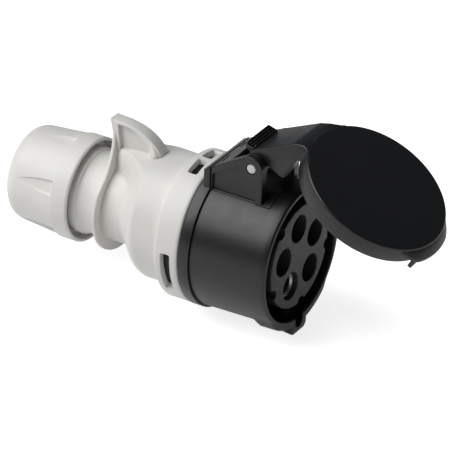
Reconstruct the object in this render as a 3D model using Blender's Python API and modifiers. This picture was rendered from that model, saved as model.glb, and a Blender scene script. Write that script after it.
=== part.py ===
"""Trailing industrial socket, five contacts, 32 A size, with its lid standing open.

Sizes are in millimetres and scaled to metres as the meshes are made. x = 0 is the plane of the
front rim and +X points out of the socket. +Y is to the right seen from the front. +Z is up, the
side where the lid is hinged. The whole part hangs on one empty, which puts the world origin at
the centre of the contact carrier's face. Angles round the axis run from +Y towards +Z.
"""
import math

import bmesh
import bpy
from mathutils import Matrix, Vector

MM = 0.001
FIT = 0.3

# Front shell
SHELL_BORE_R = 32.5
SHELL_WALL = 2.9
RIM_WALL = 2.3
RIM_ROUND = 0.9
RIM_BAND_LENGTH = 8.5
RIM_BAND_STEP = 0.2
PLUG_DEPTH = 36.0
SHELL_FLOOR = 2.6
SPIGOT_ROOT = 1.6
SPIGOT_LENGTH = 9.8
SPIGOT_WALL = 2.2

# Plateau and key bulge under the rim, and the keyway inside them
PLATEAU_RISE = 1.8
PLATEAU_HALF_ANGLE = 36.0
PLATEAU_FADE_ANGLE = 12.0
PLATEAU_RAMP = 4.5
KEYWAY_HALF_WIDTH = 3.4
KEYWAY_RISE = 5.8
KEYWAY_LENGTH = 11.5
KEYWAY_TAIL_RISE = 1.2
GROOVE_END_MARGIN = 2.0
KEY_WALL = 2.9
KEY_SIDE_WALL = 3.8
KEY_BULGE_ROUND = 3.0
KEY_BULGE_DROP = 1.0
KEY_BULGE_RAMP = 5.5

# Contact carrier
CARRIER_RECESS = 1.0
CARRIER_R = 26.1
CARRIER_CHAMFER = 0.4
CARRIER_FLANGE_STEP = 1.7
CARRIER_FLANGE_LENGTH = 5.0
CARRIER_TAIL_STEP = 0.6
CARRIER_TAIL_LENGTH = 16.1
CONTACT_COUNT = 5
CONTACT_CIRCLE_R = 15.1
FIRST_CONTACT_ANGLE = 96.0
EARTH_INDEX = 3
HOLE_R = 6.85
HOLE_DEPTH = 8.5
EARTH_HOLE_DEPTH = 3.8
NOTCH_R = 3.0
NOTCH_DEPTH = 2.8

# Contact sleeves and their screw terminals
PIN_BORE_R = 3.05
EARTH_PIN_BORE_STEP = 1.0
SLEEVE_WALL = 1.95
SLEEVE_FRONT_PROUD = 0.4
PIN_BORE_DEPTH = 30.0
SLEEVE_COLLAR_STEP = 1.3
SLEEVE_COLLAR_LENGTH = 1.6
TERMINAL_LENGTH = 9.5
WIRE_BORE_R = 2.6
WIRE_BORE_DEPTH = 9.0
TERMINAL_SCREW_R = 1.8
SCREW_HEAD_STEP = 0.7
SCREW_HEAD_LENGTH = 1.5
SCREW_SLOT_WIDTH = 0.8
SCREW_SLOT_DEPTH = 0.8

# Coupling ring with its upright plate
RING_STEP = 1.2
RING_CHAMFER = 0.4
RING_LENGTH = 5.6
RING_SLEEVE_WALL = 2.4
RING_SLEEVE_LENGTH = 11.0
SEAL_SECTION_R = 0.7
SEAL_GROOVE_LENGTH = 1.6
PLATE_THICKNESS = 3.4
PLATE_RISE = 0.3
PLATE_SIDE_STEP = 0.3

# Rear housing
COLLAR_WALL = 3.1
COLLAR_LENGTH = 12.5
COLLAR_CHAMFER = 0.5
WINDOW_SETBACK = 4.2
WINDOW_LENGTH = 4.8
TOP_WINDOW_CENTRES = (104.0, 83.0)
TOP_WINDOW_ANGLE = 17.0
SIDE_WINDOW_CENTRES = (196.0, 16.0)
SIDE_WINDOW_ANGLE = 36.0
TERMINAL_CLEARANCE = 5.3
BODY_WALL = 2.9
BODY_TAPER = 0.5
BODY_FILLET_RISE = 1.4
BODY_FILLET_LENGTH = 5.0
BODY_LENGTH = 16.6
SCOOP_LENGTH = 17.0
SCOOP_FIRST_ANGLE = 5.0
SCOOP_FADE_ANGLE = 38.0
NECK_R = 20.0
NECK_WALL = 4.5
SADDLE_DROP = 3.0
GUARD_GAP = 5.9
GUARD_R = 25.3
GUARD_THICKNESS = 1.8
GUARD_SHOULDER_Z = 12.0
GUARD_SHOULDER_RISE = 26.0
GUARD_SHOULDER_POWER = 1.6
GUARD_LEAN = 4.6
GUARD_LEAN_FROM_Z = 18.0
HOOK_HALF_WIDTH = 3.5
HOOK_WEB_HALF_WIDTH = 1.4
HOOK_TOP_Z = 43.2
HOOK_BACK_DROP = 8.2
HOOK_BULGE = 3.3
HOOK_STRAP = 2.1
NECK_RING_STEP = 1.3
NECK_RING_LENGTH = 3.6
NECK_RING_GAP = 12.0
THREAD_STEP = 0.6
THREAD_LENGTH = 18.2

# Gland
NUT_OVERLAP = 1.6
NUT_RIM_R = 26.0
NUT_RIM_LENGTH = 9.1
NUT_STEP = 0.6
NUT_TAPER = 3.0
NUT_BARREL_LENGTH = 23.0
NUT_DOME_LENGTH = 6.2
NUT_MOUTH_STEP = 2.7
NUT_MOUTH_LENGTH = 5.3
NUT_BORE_R = 11.2
NUT_CONE_LENGTH = 9.5
FLUTE_COUNT = 6
FLUTE_ANGLE = 40.0
FLUTE_LENGTH = 19.5
FLUTE_R = 3.4
FLUTE_DEPTH = 1.6
COLLET_BASE_LENGTH = 2.7
COLLET_BORE_R = 12.1
COLLET_SLOTS = 8
COLLET_SLOT_WIDTH = 1.6
COLLET_FINGER_LENGTH = 9.5
CABLE_BORE_R = 8.0
SEAL_BUSH_LENGTH = 13.0
SEAL_NOSE_LENGTH = 7.0
SLIP_RING_LENGTH = 1.7

# Hinge block and pin
BLOCK_HALF_WIDTH = 17.5
EAR_THICKNESS = 4.5
EAR_R = 6.1
HINGE_SETBACK = 19.0
HINGE_RISE = 13.1
BLOCK_SLOPE = 30.5
POCKET_CLEARANCE = 6.2
PANEL_RECESS = 1.0
PANEL_BOSS_R = 5.5
PANEL_TOP_MARGIN = 3.3
PANEL_END_MARGIN = 3.5
PIN_R = 2.4
PIN_INSET = 0.2

# Lid, in its own frame: s runs from the hinge to the free edge, n out through the lid's face
LID_OPEN_ANGLE = 59.5
LID_R = 36.8
LID_DROP = 0.8
LID_HEIGHT = 10.8
LID_SKIRT = 9.3
LID_WALL = 2.0
LID_PLATE = 2.3
LIP_REACH = 4.9
LIP_HALF_ANGLE = 16.0
LIP_FADE_ANGLE = 26.0
LIP_SLOPE = 4.0
LIP_EDGE = 2.2
NOSE_HALF_WIDTH = 2.7
NOSE_LENGTH = 9.7
NOSE_THICKNESS = 2.0
NOSE_CLEARANCE = 1.8
ARM_WALL = 2.1
ARM_FOOT_N = 4.4
ARM_CROWN_S = 8.3
ARM_CROWN_N = 24.8
ARM_SHOULDER = 3.7
ARM_MERGE = 8.7
ARM_SPLIT = 2.0
ARM_BELLY_N = 7.4
KNUCKLE_R = 5.6
SPRING_POCKET_HALF = 6.2
SPRING_POCKET_R = 5.3
THUMB_HALF_WIDTH = 8.8
THUMB_REACH = 9.8
THUMB_DEPTH = 4.4
THUMB_RIDGES = 4
THUMB_RIDGE_HEIGHT = 0.35
GASKET_R = 32.6
GASKET_WIDTH = 2.0
GASKET_HEIGHT = 2.5
GASKET_SQUEEZE = 0.3

# Lid spring
WIRE_R = 0.55
COIL_R = 4.1
COIL_TURNS = 6
COIL_HALF_LENGTH = 4.4
SPRING_LEG = 18.0

# Facets round a full circle
LARGE_STEPS = 40
MEDIUM_STEPS = 30
SMALL_STEPS = 16
TINY_STEPS = 10
COIL_STEPS = 8

# Sizes that follow from the ones above
SHELL_R = SHELL_BORE_R + SHELL_WALL
RIM_R = SHELL_BORE_R + RIM_WALL
KEYWAY_R = SHELL_BORE_R + KEYWAY_RISE
KEY_BULGE_R = KEYWAY_R + KEY_WALL
KEY_BULGE_HALF_WIDTH = KEYWAY_HALF_WIDTH + KEY_SIDE_WALL
SHELL_LENGTH = PLUG_DEPTH + SHELL_FLOOR + SPIGOT_ROOT
GROOVE_END_X = -PLUG_DEPTH + GROOVE_END_MARGIN
CARRIER_FRONT_X = -CARRIER_RECESS
CARRIER_FLANGE_R = CARRIER_R + CARRIER_FLANGE_STEP
CARRIER_FLANGE_X = -PLUG_DEPTH - SHELL_FLOOR - FIT
CARRIER_REAR_X = CARRIER_FLANGE_X - CARRIER_FLANGE_LENGTH - CARRIER_TAIL_LENGTH
EARTH_SLEEVE_R = PIN_BORE_R + EARTH_PIN_BORE_STEP + SLEEVE_WALL
TERMINAL_REACH = CONTACT_CIRCLE_R + EARTH_SLEEVE_R + FIT + SCREW_HEAD_LENGTH
BODY_R = TERMINAL_REACH + TERMINAL_CLEARANCE + BODY_WALL
SPIGOT_BORE_R = CARRIER_FLANGE_R + FIT
SPIGOT_R = SPIGOT_BORE_R + SPIGOT_WALL
RING_BORE_R = SPIGOT_R + FIT
RING_SLEEVE_R = RING_BORE_R + RING_SLEEVE_WALL
RING_R = SHELL_R + RING_STEP
RING_FRONT_X = -SHELL_LENGTH - FIT
SEAL_RING_R = SPIGOT_R + FIT + SEAL_SECTION_R
SEAL_GROOVE_R = SEAL_RING_R + SEAL_SECTION_R + FIT
COLLAR_BORE_R = RING_SLEEVE_R + FIT
COLLAR_R = COLLAR_BORE_R + COLLAR_WALL
COLLAR_FRONT_X = RING_FRONT_X - RING_LENGTH - FIT
COLLAR_REAR_X = COLLAR_FRONT_X - COLLAR_LENGTH
SLEEVE_END_X = COLLAR_FRONT_X - RING_SLEEVE_LENGTH
CREST_X = COLLAR_REAR_X - BODY_LENGTH
CREST_R = BODY_R - BODY_TAPER
NECK_X = CREST_X - SCOOP_LENGTH
GUARD_X = NECK_X - GUARD_GAP
GUARD_MID_X = GUARD_X - GUARD_THICKNESS / 2
NECK_RING_X = GUARD_X - GUARD_THICKNESS - NECK_RING_GAP
THREAD_X = NECK_RING_X - NECK_RING_LENGTH
THREAD_R = NECK_R + THREAD_STEP
NECK_END_X = THREAD_X - THREAD_LENGTH
NECK_BORE_R = NECK_R - NECK_WALL
NUT_FRONT_X = THREAD_X + NUT_OVERLAP
NUT_THREAD_R = THREAD_R + FIT
NUT_BARREL_R = NUT_RIM_R - NUT_STEP
NUT_BARREL_X = NUT_FRONT_X - NUT_RIM_LENGTH
NUT_DOME_X = NUT_BARREL_X - NUT_BARREL_LENGTH
NUT_REAR_X = NUT_DOME_X - NUT_DOME_LENGTH
COLLET_X = NECK_END_X - FIT
COLLET_BASE_R = NUT_THREAD_R - 3 * FIT
FINGER_X = COLLET_X - COLLET_BASE_LENGTH
NUT_CONE_X = FINGER_X - SLIP_RING_LENGTH - 2 * FIT - 0.2
NUT_CONE_R = COLLET_BASE_R - 1.3
EAR_GAP_HALF = BLOCK_HALF_WIDTH - EAR_THICKNESS
ARM_HALF_WIDTH = EAR_GAP_HALF - FIT
PIN_X = -HINGE_SETBACK
PIN_Z = SHELL_R + HINGE_RISE
PIN_HOLE_R = PIN_R + FIT
PIN_HALF_LENGTH = BLOCK_HALF_WIDTH - PIN_INSET
POCKET_X = PIN_X - EAR_R - POCKET_CLEARANCE
LID_TILT = math.radians(90.0 - LID_OPEN_ANGLE)
LID_CENTRE_S = PIN_Z + LID_DROP
LID_TOP_N = HINGE_SETBACK + LID_HEIGHT
LID_SKIRT_N = LID_TOP_N - LID_SKIRT
LID_PLATE_N = LID_TOP_N - LID_PLATE
LID_BORE_R = LID_R - LID_WALL
GASKET_N = HINGE_SETBACK + GASKET_SQUEEZE
SLOPE_RISE = math.tan(math.radians(BLOCK_SLOPE))
SLOPE_TOP = PIN_Z + EAR_R / math.cos(math.radians(BLOCK_SLOPE))


def smooth(t):
    """Ease from 0 to 1."""
    t = min(max(t, 0.0), 1.0)
    return t * t * (3.0 - 2.0 * t)


def lerp(a, b, t):
    return a + (b - a) * t


def angle_between(angle, centre):
    """Unsigned difference of two angles in degrees."""
    return abs((angle - centre + 180.0) % 360.0 - 180.0)


def polar(radius, angle):
    """Point at an angle in degrees."""
    a = math.radians(angle)
    return radius * math.cos(a), radius * math.sin(a)


def arc(centre, radius, start, end, count):
    """Points of a circular arc, both ends included."""
    points = []
    for i in range(count + 1):
        a, b = polar(radius, lerp(start, end, i / count))
        points.append((centre[0] + a, centre[1] + b))
    return points


def bezier(p0, p1, p2, count):
    """Points of a quadratic curve, both ends included."""
    points = []
    for i in range(count + 1):
        t = i / count
        a = (1 - t) ** 2
        b = 2 * t * (1 - t)
        c = t ** 2
        points.append((a * p0[0] + b * p1[0] + c * p2[0], a * p0[1] + b * p1[1] + c * p2[1]))
    return points


def sector(inner, outer, centre, width, count):
    """Outline of a piece of a ring."""
    low = centre - width / 2
    high = centre + width / 2
    return arc((0, 0), outer, low, high, count) + arc((0, 0), inner, high, low, count)


def slope_z(x):
    """Height of the hinge block's sloping top."""
    return SLOPE_TOP + (x - PIN_X) * SLOPE_RISE


def lid_point(s, n):
    """A point of the lid's own frame, seen from the pin in the socket's frame."""
    x = s * math.cos(LID_TILT) + n * math.sin(LID_TILT)
    z = -s * math.sin(LID_TILT) + n * math.cos(LID_TILT)
    return x, z


class Builder:
    """Collections, empties and the makers of meshes."""

    ALONG_X = (0, math.pi / 2, 0)

    def __init__(self):
        for obj in list(bpy.data.objects):
            bpy.data.objects.remove(obj, do_unlink=True)
        scene = bpy.context.scene.collection
        self.parts = bpy.data.collections.new("industrial_socket")
        self.tools = bpy.data.collections.new("cutters")
        scene.children.link(self.parts)
        scene.children.link(self.tools)
        self.root = self.empty("socket_origin", None, (CARRIER_RECESS, 0, 0))
        self.lid_hinge = self.empty("lid_hinge", self.root, (PIN_X, 0, PIN_Z))
        self.lid_hinge.rotation_euler = (0, LID_TILT, 0)
        self.owner = self.root

    def empty(self, name, parent, at):
        obj = bpy.data.objects.new(name, None)
        obj.empty_display_size = 10 * MM
        self.parts.objects.link(obj)
        obj.parent = parent
        obj.location = Vector(at) * MM
        return obj

    def place(self, name, mesh, at=(0, 0, 0), rotation=(0, 0, 0)):
        """A new tool object under the current owner. finish() turns one into a part."""
        obj = bpy.data.objects.new(name, mesh)
        self.tools.objects.link(obj)
        obj.parent = self.owner
        obj.location = Vector(at) * MM
        obj.rotation_euler = rotation
        obj.hide_render = True
        obj.display_type = 'WIRE'
        return obj

    def turned(self, name, profile, steps, at=(0, 0, 0), rotation=ALONG_X):
        """Spin a profile of (axial, radius) points, listed down its outer side."""
        phase = math.pi / steps
        verts = []
        for axial, radius in profile:
            verts.append((radius * math.cos(phase) * MM, radius * math.sin(phase) * MM, axial * MM))
        edges = [(i, i + 1) for i in range(len(verts) - 1)]
        if profile[0][1] > 0:
            edges.append((len(verts) - 1, 0))
        mesh = bpy.data.meshes.new(name)
        mesh.from_pydata(verts, edges, [])
        obj = self.place(name, mesh, at, rotation)
        screw = obj.modifiers.new("Spin", 'SCREW')
        screw.axis = 'Z'
        screw.angle = 2 * math.pi
        screw.steps = steps
        screw.render_steps = steps
        screw.use_merge_vertices = True
        screw.merge_threshold = 0.00001
        screw.use_smooth_shade = False
        return obj

    def loft(self, name, rings):
        """Skin between rings of points, closed at both ends."""
        count = len(rings[0])
        verts = [Vector(point) * MM for ring in rings for point in ring]
        faces = [tuple(range(count)), tuple(range(len(verts) - 1, len(verts) - count - 1, -1))]
        for k in range(len(rings) - 1):
            for i in range(count):
                j = (i + 1) % count
                faces.append((k * count + i, (k + 1) * count + i, (k + 1) * count + j, k * count + j))
        mesh = bpy.data.meshes.new(name)
        mesh.from_pydata(verts, [], faces)
        work = bmesh.new()
        work.from_mesh(mesh)
        bmesh.ops.connect_verts_nonplanar(work, angle_limit=0.001, faces=work.faces)
        bmesh.ops.recalc_face_normals(work, faces=work.faces)
        work.to_mesh(mesh)
        work.free()
        return self.place(name, mesh)

    def from_curve(self, name, curve, matrix):
        """Turn a curve into a mesh object."""
        source = bpy.data.objects.new(name + "_curve", curve)
        self.tools.objects.link(source)
        bpy.context.view_layer.update()
        graph = bpy.context.evaluated_depsgraph_get()
        mesh = bpy.data.meshes.new_from_object(source.evaluated_get(graph))
        bpy.data.objects.remove(source)
        bpy.data.curves.remove(curve)
        mesh.transform(matrix)
        work = bmesh.new()
        work.from_mesh(mesh)
        bmesh.ops.remove_doubles(work, verts=work.verts, dist=0.000005)
        bmesh.ops.recalc_face_normals(work, faces=work.faces)
        work.to_mesh(mesh)
        work.free()
        return self.place(name, mesh)

    def prism(self, name, outlines, low, high, axis):
        """Flat outlines drawn across one axis and carried from low to high along it."""
        curve = bpy.data.curves.new(name, 'CURVE')
        curve.dimensions = '2D'
        curve.fill_mode = 'BOTH'
        curve.extrude = (high - low) / 2 * MM
        for outline in outlines:
            spline = curve.splines.new('POLY')
            spline.points.add(len(outline) - 1)
            for point, (a, b) in zip(spline.points, outline):
                point.co = (a * MM, b * MM, 0, 1)
            spline.use_cyclic_u = True
        middle = (low + high) / 2 * MM
        if axis == 'x':
            matrix = Matrix(((0, 0, 1, middle), (1, 0, 0, 0), (0, 1, 0, 0), (0, 0, 0, 1)))
        else:
            matrix = Matrix(((1, 0, 0, 0), (0, 0, -1, middle), (0, 1, 0, 0), (0, 0, 0, 1)))
        return self.from_curve(name, curve, matrix)

    def rods(self, name, rods, steps, at=(0, 0, 0), rotation=(0, 0, 0)):
        """Round rods or cones from (start, end, start radius, end radius)."""
        work = bmesh.new()
        for start, end, r0, r1 in rods:
            start = Vector(start) * MM
            end = Vector(end) * MM
            turn = Vector((0, 0, 1)).rotation_difference(end - start).to_matrix().to_4x4()
            matrix = Matrix.Translation((start + end) / 2) @ turn
            bmesh.ops.create_cone(work, cap_ends=True, segments=steps, radius1=r0 * MM,
                                  radius2=r1 * MM, depth=(end - start).length, matrix=matrix)
        mesh = bpy.data.meshes.new(name)
        work.to_mesh(mesh)
        work.free()
        return self.place(name, mesh, at, rotation)

    def boxes(self, name, boxes, at=(0, 0, 0), rotation=(0, 0, 0)):
        """Boxes from (low corner, high corner, angle about X)."""
        work = bmesh.new()
        for low, high, angle in boxes:
            low = Vector(low) * MM
            high = Vector(high) * MM
            size = high - low
            scale = Matrix.Diagonal((size.x, size.y, size.z, 1))
            turn = Matrix.Rotation(math.radians(angle), 4, 'X')
            matrix = turn @ Matrix.Translation((low + high) / 2) @ scale
            bmesh.ops.create_cube(work, size=1, matrix=matrix)
        mesh = bpy.data.meshes.new(name)
        work.to_mesh(mesh)
        work.free()
        return self.place(name, mesh, at, rotation)

    def join(self, target, *tools):
        for tool in tools:
            self.boolean(target, tool, 'UNION')

    def cut(self, target, *tools):
        for tool in tools:
            self.boolean(target, tool, 'DIFFERENCE')

    def boolean(self, target, tool, operation):
        modifier = target.modifiers.new(tool.name, 'BOOLEAN')
        modifier.operation = operation
        modifier.object = tool
        modifier.solver = 'EXACT'

    def finish(self, obj, colour, roughness, metallic=0.0):
        """Move a shape into the part and give it a material of its own."""
        self.tools.objects.unlink(obj)
        self.parts.objects.link(obj)
        obj.hide_render = False
        obj.display_type = 'TEXTURED'
        material = bpy.data.materials.new(obj.name + "_material")
        material.use_nodes = True
        shader = material.node_tree.nodes["Principled BSDF"]
        shader.inputs["Base Color"].default_value = (*colour, 1)
        shader.inputs["Roughness"].default_value = roughness
        shader.inputs["Metallic"].default_value = metallic
        obj.data.materials.append(material)


BLACK = (0.026, 0.027, 0.029)
GREY = (0.68, 0.68, 0.67)
INSULATOR = (0.075, 0.075, 0.077)
BRASS = (0.78, 0.62, 0.32)
STEEL = (0.62, 0.63, 0.65)
RUBBER = (0.02, 0.02, 0.02)
NYLON = (0.75, 0.74, 0.70)


def circle_ring(x, radius_at, steps):
    """One ring of a loft round the main axis. radius_at gives the radius for an angle."""
    ring = []
    for i in range(steps):
        angle = 360.0 * (i + 0.5) / steps
        y, z = polar(radius_at(angle), angle)
        ring.append((x, y, z))
    return ring


def shell_radius(x, angle):
    """Outer radius of the front shell, with the low plateau under its rim."""
    radius = lerp(RIM_R, SHELL_R, -x / SHELL_LENGTH)
    if x > -RIM_BAND_LENGTH - 0.01:
        radius += RIM_BAND_STEP
    side = (angle_between(angle, 270.0) - PLATEAU_HALF_ANGLE) / PLATEAU_FADE_ANGLE
    back = (-x - RIM_BAND_LENGTH) / PLATEAU_RAMP
    return radius + PLATEAU_RISE * (1 - smooth(side)) * (1 - smooth(back))


def hinge_block(kit):
    """Block behind the pin and two ears beside it, with sunk side panels."""
    foot_z = SHELL_BORE_R - EAR_THICKNESS
    outline = [(-SHELL_LENGTH, foot_z), (PIN_X + EAR_R, foot_z)]
    outline += arc((PIN_X, PIN_Z), EAR_R, 0, 90 + BLOCK_SLOPE, 9)
    outline.append((-SHELL_LENGTH, slope_z(-SHELL_LENGTH)))
    block = kit.prism("hinge_block", [outline], -BLOCK_HALF_WIDTH, BLOCK_HALF_WIDTH, 'y')
    pocket = kit.boxes("pocket", [((POCKET_X, -EAR_GAP_HALF, 0), (0, EAR_GAP_HALF, 80), 0)])
    left = -SHELL_LENGTH + 0.7
    right = PIN_X + EAR_R - PANEL_END_MARGIN
    top_start = -SHELL_LENGTH + 0.7
    top_end = PIN_X - PANEL_BOSS_R - 1.0
    margin = PANEL_TOP_MARGIN / math.cos(math.radians(BLOCK_SLOPE))
    panel = [(left, 0), (left, slope_z(top_start) - margin), (top_end, slope_z(top_end) - margin)]
    panel += arc((PIN_X, PIN_Z), PANEL_BOSS_R, 180, 298, 6)
    panel += [(right, PIN_Z - PANEL_BOSS_R), (right, 0)]
    deep = BLOCK_HALF_WIDTH - PANEL_RECESS
    far = BLOCK_HALF_WIDTH + 1
    panels = [kit.prism("panel_right", [panel], deep, far, 'y'),
              kit.prism("panel_left", [panel], -far, -deep, 'y')]
    hole = kit.rods("pin_hole", [((PIN_X, -far, PIN_Z), (PIN_X, far, PIN_Z), PIN_HOLE_R, PIN_HOLE_R)],
                    SMALL_STEPS)
    kit.cut(block, pocket, panels[0], panels[1], hole)
    return block


def key_bulge(kit):
    """Rounded bulge under the rim that covers the keyway."""
    half = KEY_BULGE_HALF_WIDTH
    ramp_start = -KEYWAY_LENGTH + KEY_WALL
    stations = [(0, -KEY_BULGE_R, 0.5), (-0.5, -KEY_BULGE_R, 0)]
    stations.append((ramp_start, -KEY_BULGE_R + KEY_BULGE_DROP, 0))
    for i in (1, 2, 3, 4):
        depth = lerp(-KEY_BULGE_R + KEY_BULGE_DROP, -SHELL_R + 2.0, smooth(i / 4))
        stations.append((ramp_start - KEY_BULGE_RAMP * i / 4, depth, 0))
    rings = []
    for x, bottom, inset in stations:
        bottom += inset
        width = half - inset
        r = KEY_BULGE_ROUND
        ring = [(x, -width, -SHELL_BORE_R)]
        ring += [(x, y, z) for y, z in arc((-width + r, bottom + r), r, 180, 270, 4)]
        ring += [(x, y, z) for y, z in arc((width - r, bottom + r), r, 270, 360, 4)]
        ring.append((x, width, -SHELL_BORE_R))
        rings.append(ring)
    return kit.loft("key_bulge", rings)


def front_shell(kit):
    stations = [0, -0.35, -1.3, -RIM_BAND_LENGTH, -RIM_BAND_LENGTH - 0.2]
    stations += [-RIM_BAND_LENGTH - PLATEAU_RAMP * t for t in (0.33, 0.66, 1.0)]
    insets = {0: RIM_ROUND, -0.35: RIM_ROUND * 0.35}
    rings = []
    for x in stations:
        inset = insets.get(x, 0)
        rings.append(circle_ring(x, lambda a: shell_radius(x, a) - inset, LARGE_STEPS))
    rings.append(circle_ring(-SHELL_LENGTH, lambda a: SHELL_R, LARGE_STEPS))
    rings.append(circle_ring(-SHELL_LENGTH, lambda a: SPIGOT_R, LARGE_STEPS))
    rings.append(circle_ring(-SHELL_LENGTH - SPIGOT_LENGTH, lambda a: SPIGOT_R, LARGE_STEPS))
    shell = kit.loft("front_shell", rings)
    bore = kit.turned("shell_bore", [
        (1, 0),
        (1, SHELL_BORE_R + 1.5),
        (-0.5, SHELL_BORE_R),
        (-PLUG_DEPTH, SHELL_BORE_R),
        (-PLUG_DEPTH, CARRIER_R + FIT),
        (-PLUG_DEPTH - SHELL_FLOOR, CARRIER_R + FIT),
        (-PLUG_DEPTH - SHELL_FLOOR, SPIGOT_BORE_R),
        (-SHELL_LENGTH - SPIGOT_LENGTH - 1, SPIGOT_BORE_R),
        (-SHELL_LENGTH - SPIGOT_LENGTH - 1, 0)], LARGE_STEPS)
    half = KEYWAY_HALF_WIDTH
    mouth = [(-half, -SHELL_BORE_R + 3), (half, -SHELL_BORE_R + 3)]
    mouth += arc((0, -KEYWAY_R + half), half, 0, -180, 6)
    keyway = kit.prism("keyway", [mouth], -KEYWAY_LENGTH, 1, 'x')
    tail_r = SHELL_BORE_R + KEYWAY_TAIL_RISE
    tail = [(-half, -SHELL_BORE_R + 3), (half, -SHELL_BORE_R + 3), (half, -tail_r), (-half, -tail_r)]
    keyway_tail = kit.prism("keyway_tail", [tail], GROOVE_END_X, -KEYWAY_LENGTH + 0.5, 'x')
    kit.join(shell, key_bulge(kit), hinge_block(kit))
    kit.cut(shell, bore, keyway, keyway_tail)
    kit.finish(shell, BLACK, 0.4)


def coupling_ring(kit):
    rear = RING_FRONT_X - RING_LENGTH
    ring = kit.turned("coupling_ring", [
        (RING_FRONT_X, 0),
        (RING_FRONT_X, RING_R - RING_CHAMFER),
        (RING_FRONT_X - RING_CHAMFER, RING_R),
        (rear + RING_CHAMFER, RING_R),
        (rear, RING_R - RING_CHAMFER),
        (rear, RING_SLEEVE_R),
        (SLEEVE_END_X, RING_SLEEVE_R),
        (SLEEVE_END_X, 0)], LARGE_STEPS)
    half = BLOCK_HALF_WIDTH + PLATE_SIDE_STEP
    plate_rear = RING_FRONT_X - PLATE_THICKNESS
    plate_top = slope_z(RING_FRONT_X) + PLATE_RISE
    outline = [(plate_rear, SPIGOT_R), (RING_FRONT_X, SPIGOT_R), (RING_FRONT_X, plate_top),
               (plate_rear, plate_top - PLATE_THICKNESS * SLOPE_RISE)]
    plate = kit.prism("ring_plate", [outline], -half, half, 'y')
    groove_x = -SHELL_LENGTH - FIT - SEAL_GROOVE_LENGTH
    bore = kit.turned("ring_bore", [
        (RING_FRONT_X + 1, 0),
        (RING_FRONT_X + 1, SEAL_GROOVE_R),
        (groove_x, SEAL_GROOVE_R),
        (groove_x, RING_BORE_R),
        (SLEEVE_END_X - 1, RING_BORE_R),
        (SLEEVE_END_X - 1, 0)], LARGE_STEPS)
    kit.join(ring, plate)
    kit.cut(ring, bore)
    kit.finish(ring, BLACK, 0.42)
    seal_x = -SHELL_LENGTH - FIT - SEAL_SECTION_R
    section = [(seal_x + b, SEAL_RING_R + a) for a, b in arc((0, 0), SEAL_SECTION_R, 90, -210, 5)]
    seal = kit.turned("housing_seal", section, MEDIUM_STEPS)
    kit.finish(seal, RUBBER, 0.7)


def contact_angle(index):
    return FIRST_CONTACT_ANGLE - 360.0 * index / CONTACT_COUNT


def contact_carrier(kit):
    """Round insulator with five contact holes and five notches in its edge."""
    flange_rear = CARRIER_FLANGE_X - CARRIER_FLANGE_LENGTH
    tail_r = CARRIER_R - CARRIER_TAIL_STEP
    carrier = kit.turned("contact_carrier", [
        (CARRIER_FRONT_X, 0),
        (CARRIER_FRONT_X, CARRIER_R - CARRIER_CHAMFER),
        (CARRIER_FRONT_X - CARRIER_CHAMFER, CARRIER_R),
        (CARRIER_FLANGE_X, CARRIER_R),
        (CARRIER_FLANGE_X, CARRIER_FLANGE_R),
        (flange_rear, CARRIER_FLANGE_R),
        (flange_rear, tail_r),
        (CARRIER_REAR_X, tail_r),
        (CARRIER_REAR_X, 0)], LARGE_STEPS)
    entries = []
    seats = []
    notches = []
    for index in range(CONTACT_COUNT):
        y, z = polar(CONTACT_CIRCLE_R, contact_angle(index))
        depth, bore_r = contact_sizes(index)
        seat_r = bore_r + SLEEVE_WALL + FIT
        floor = CARRIER_FRONT_X - depth
        entries.append(((1, y, z), (floor, y, z), HOLE_R, HOLE_R))
        seats.append(((floor + 1, y, z), (CARRIER_REAR_X - 1, y, z), seat_r, seat_r))
        side = contact_angle(index) - 180.0 / CONTACT_COUNT
        y, z = polar(CARRIER_R - NOTCH_DEPTH + NOTCH_R, side)
        notches.append(((1, y, z), (GROOVE_END_X, y, z), NOTCH_R, NOTCH_R))
    kit.cut(carrier,
            kit.rods("entries", entries, SMALL_STEPS),
            kit.rods("seats", seats, SMALL_STEPS),
            kit.rods("notches", notches, SMALL_STEPS))
    kit.finish(carrier, INSULATOR, 0.45)


def contact_sizes(index):
    """Depth of the entry and radius of the pin bore."""
    if index == EARTH_INDEX:
        return EARTH_HOLE_DEPTH, PIN_BORE_R + EARTH_PIN_BORE_STEP
    return HOLE_DEPTH, PIN_BORE_R


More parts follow.
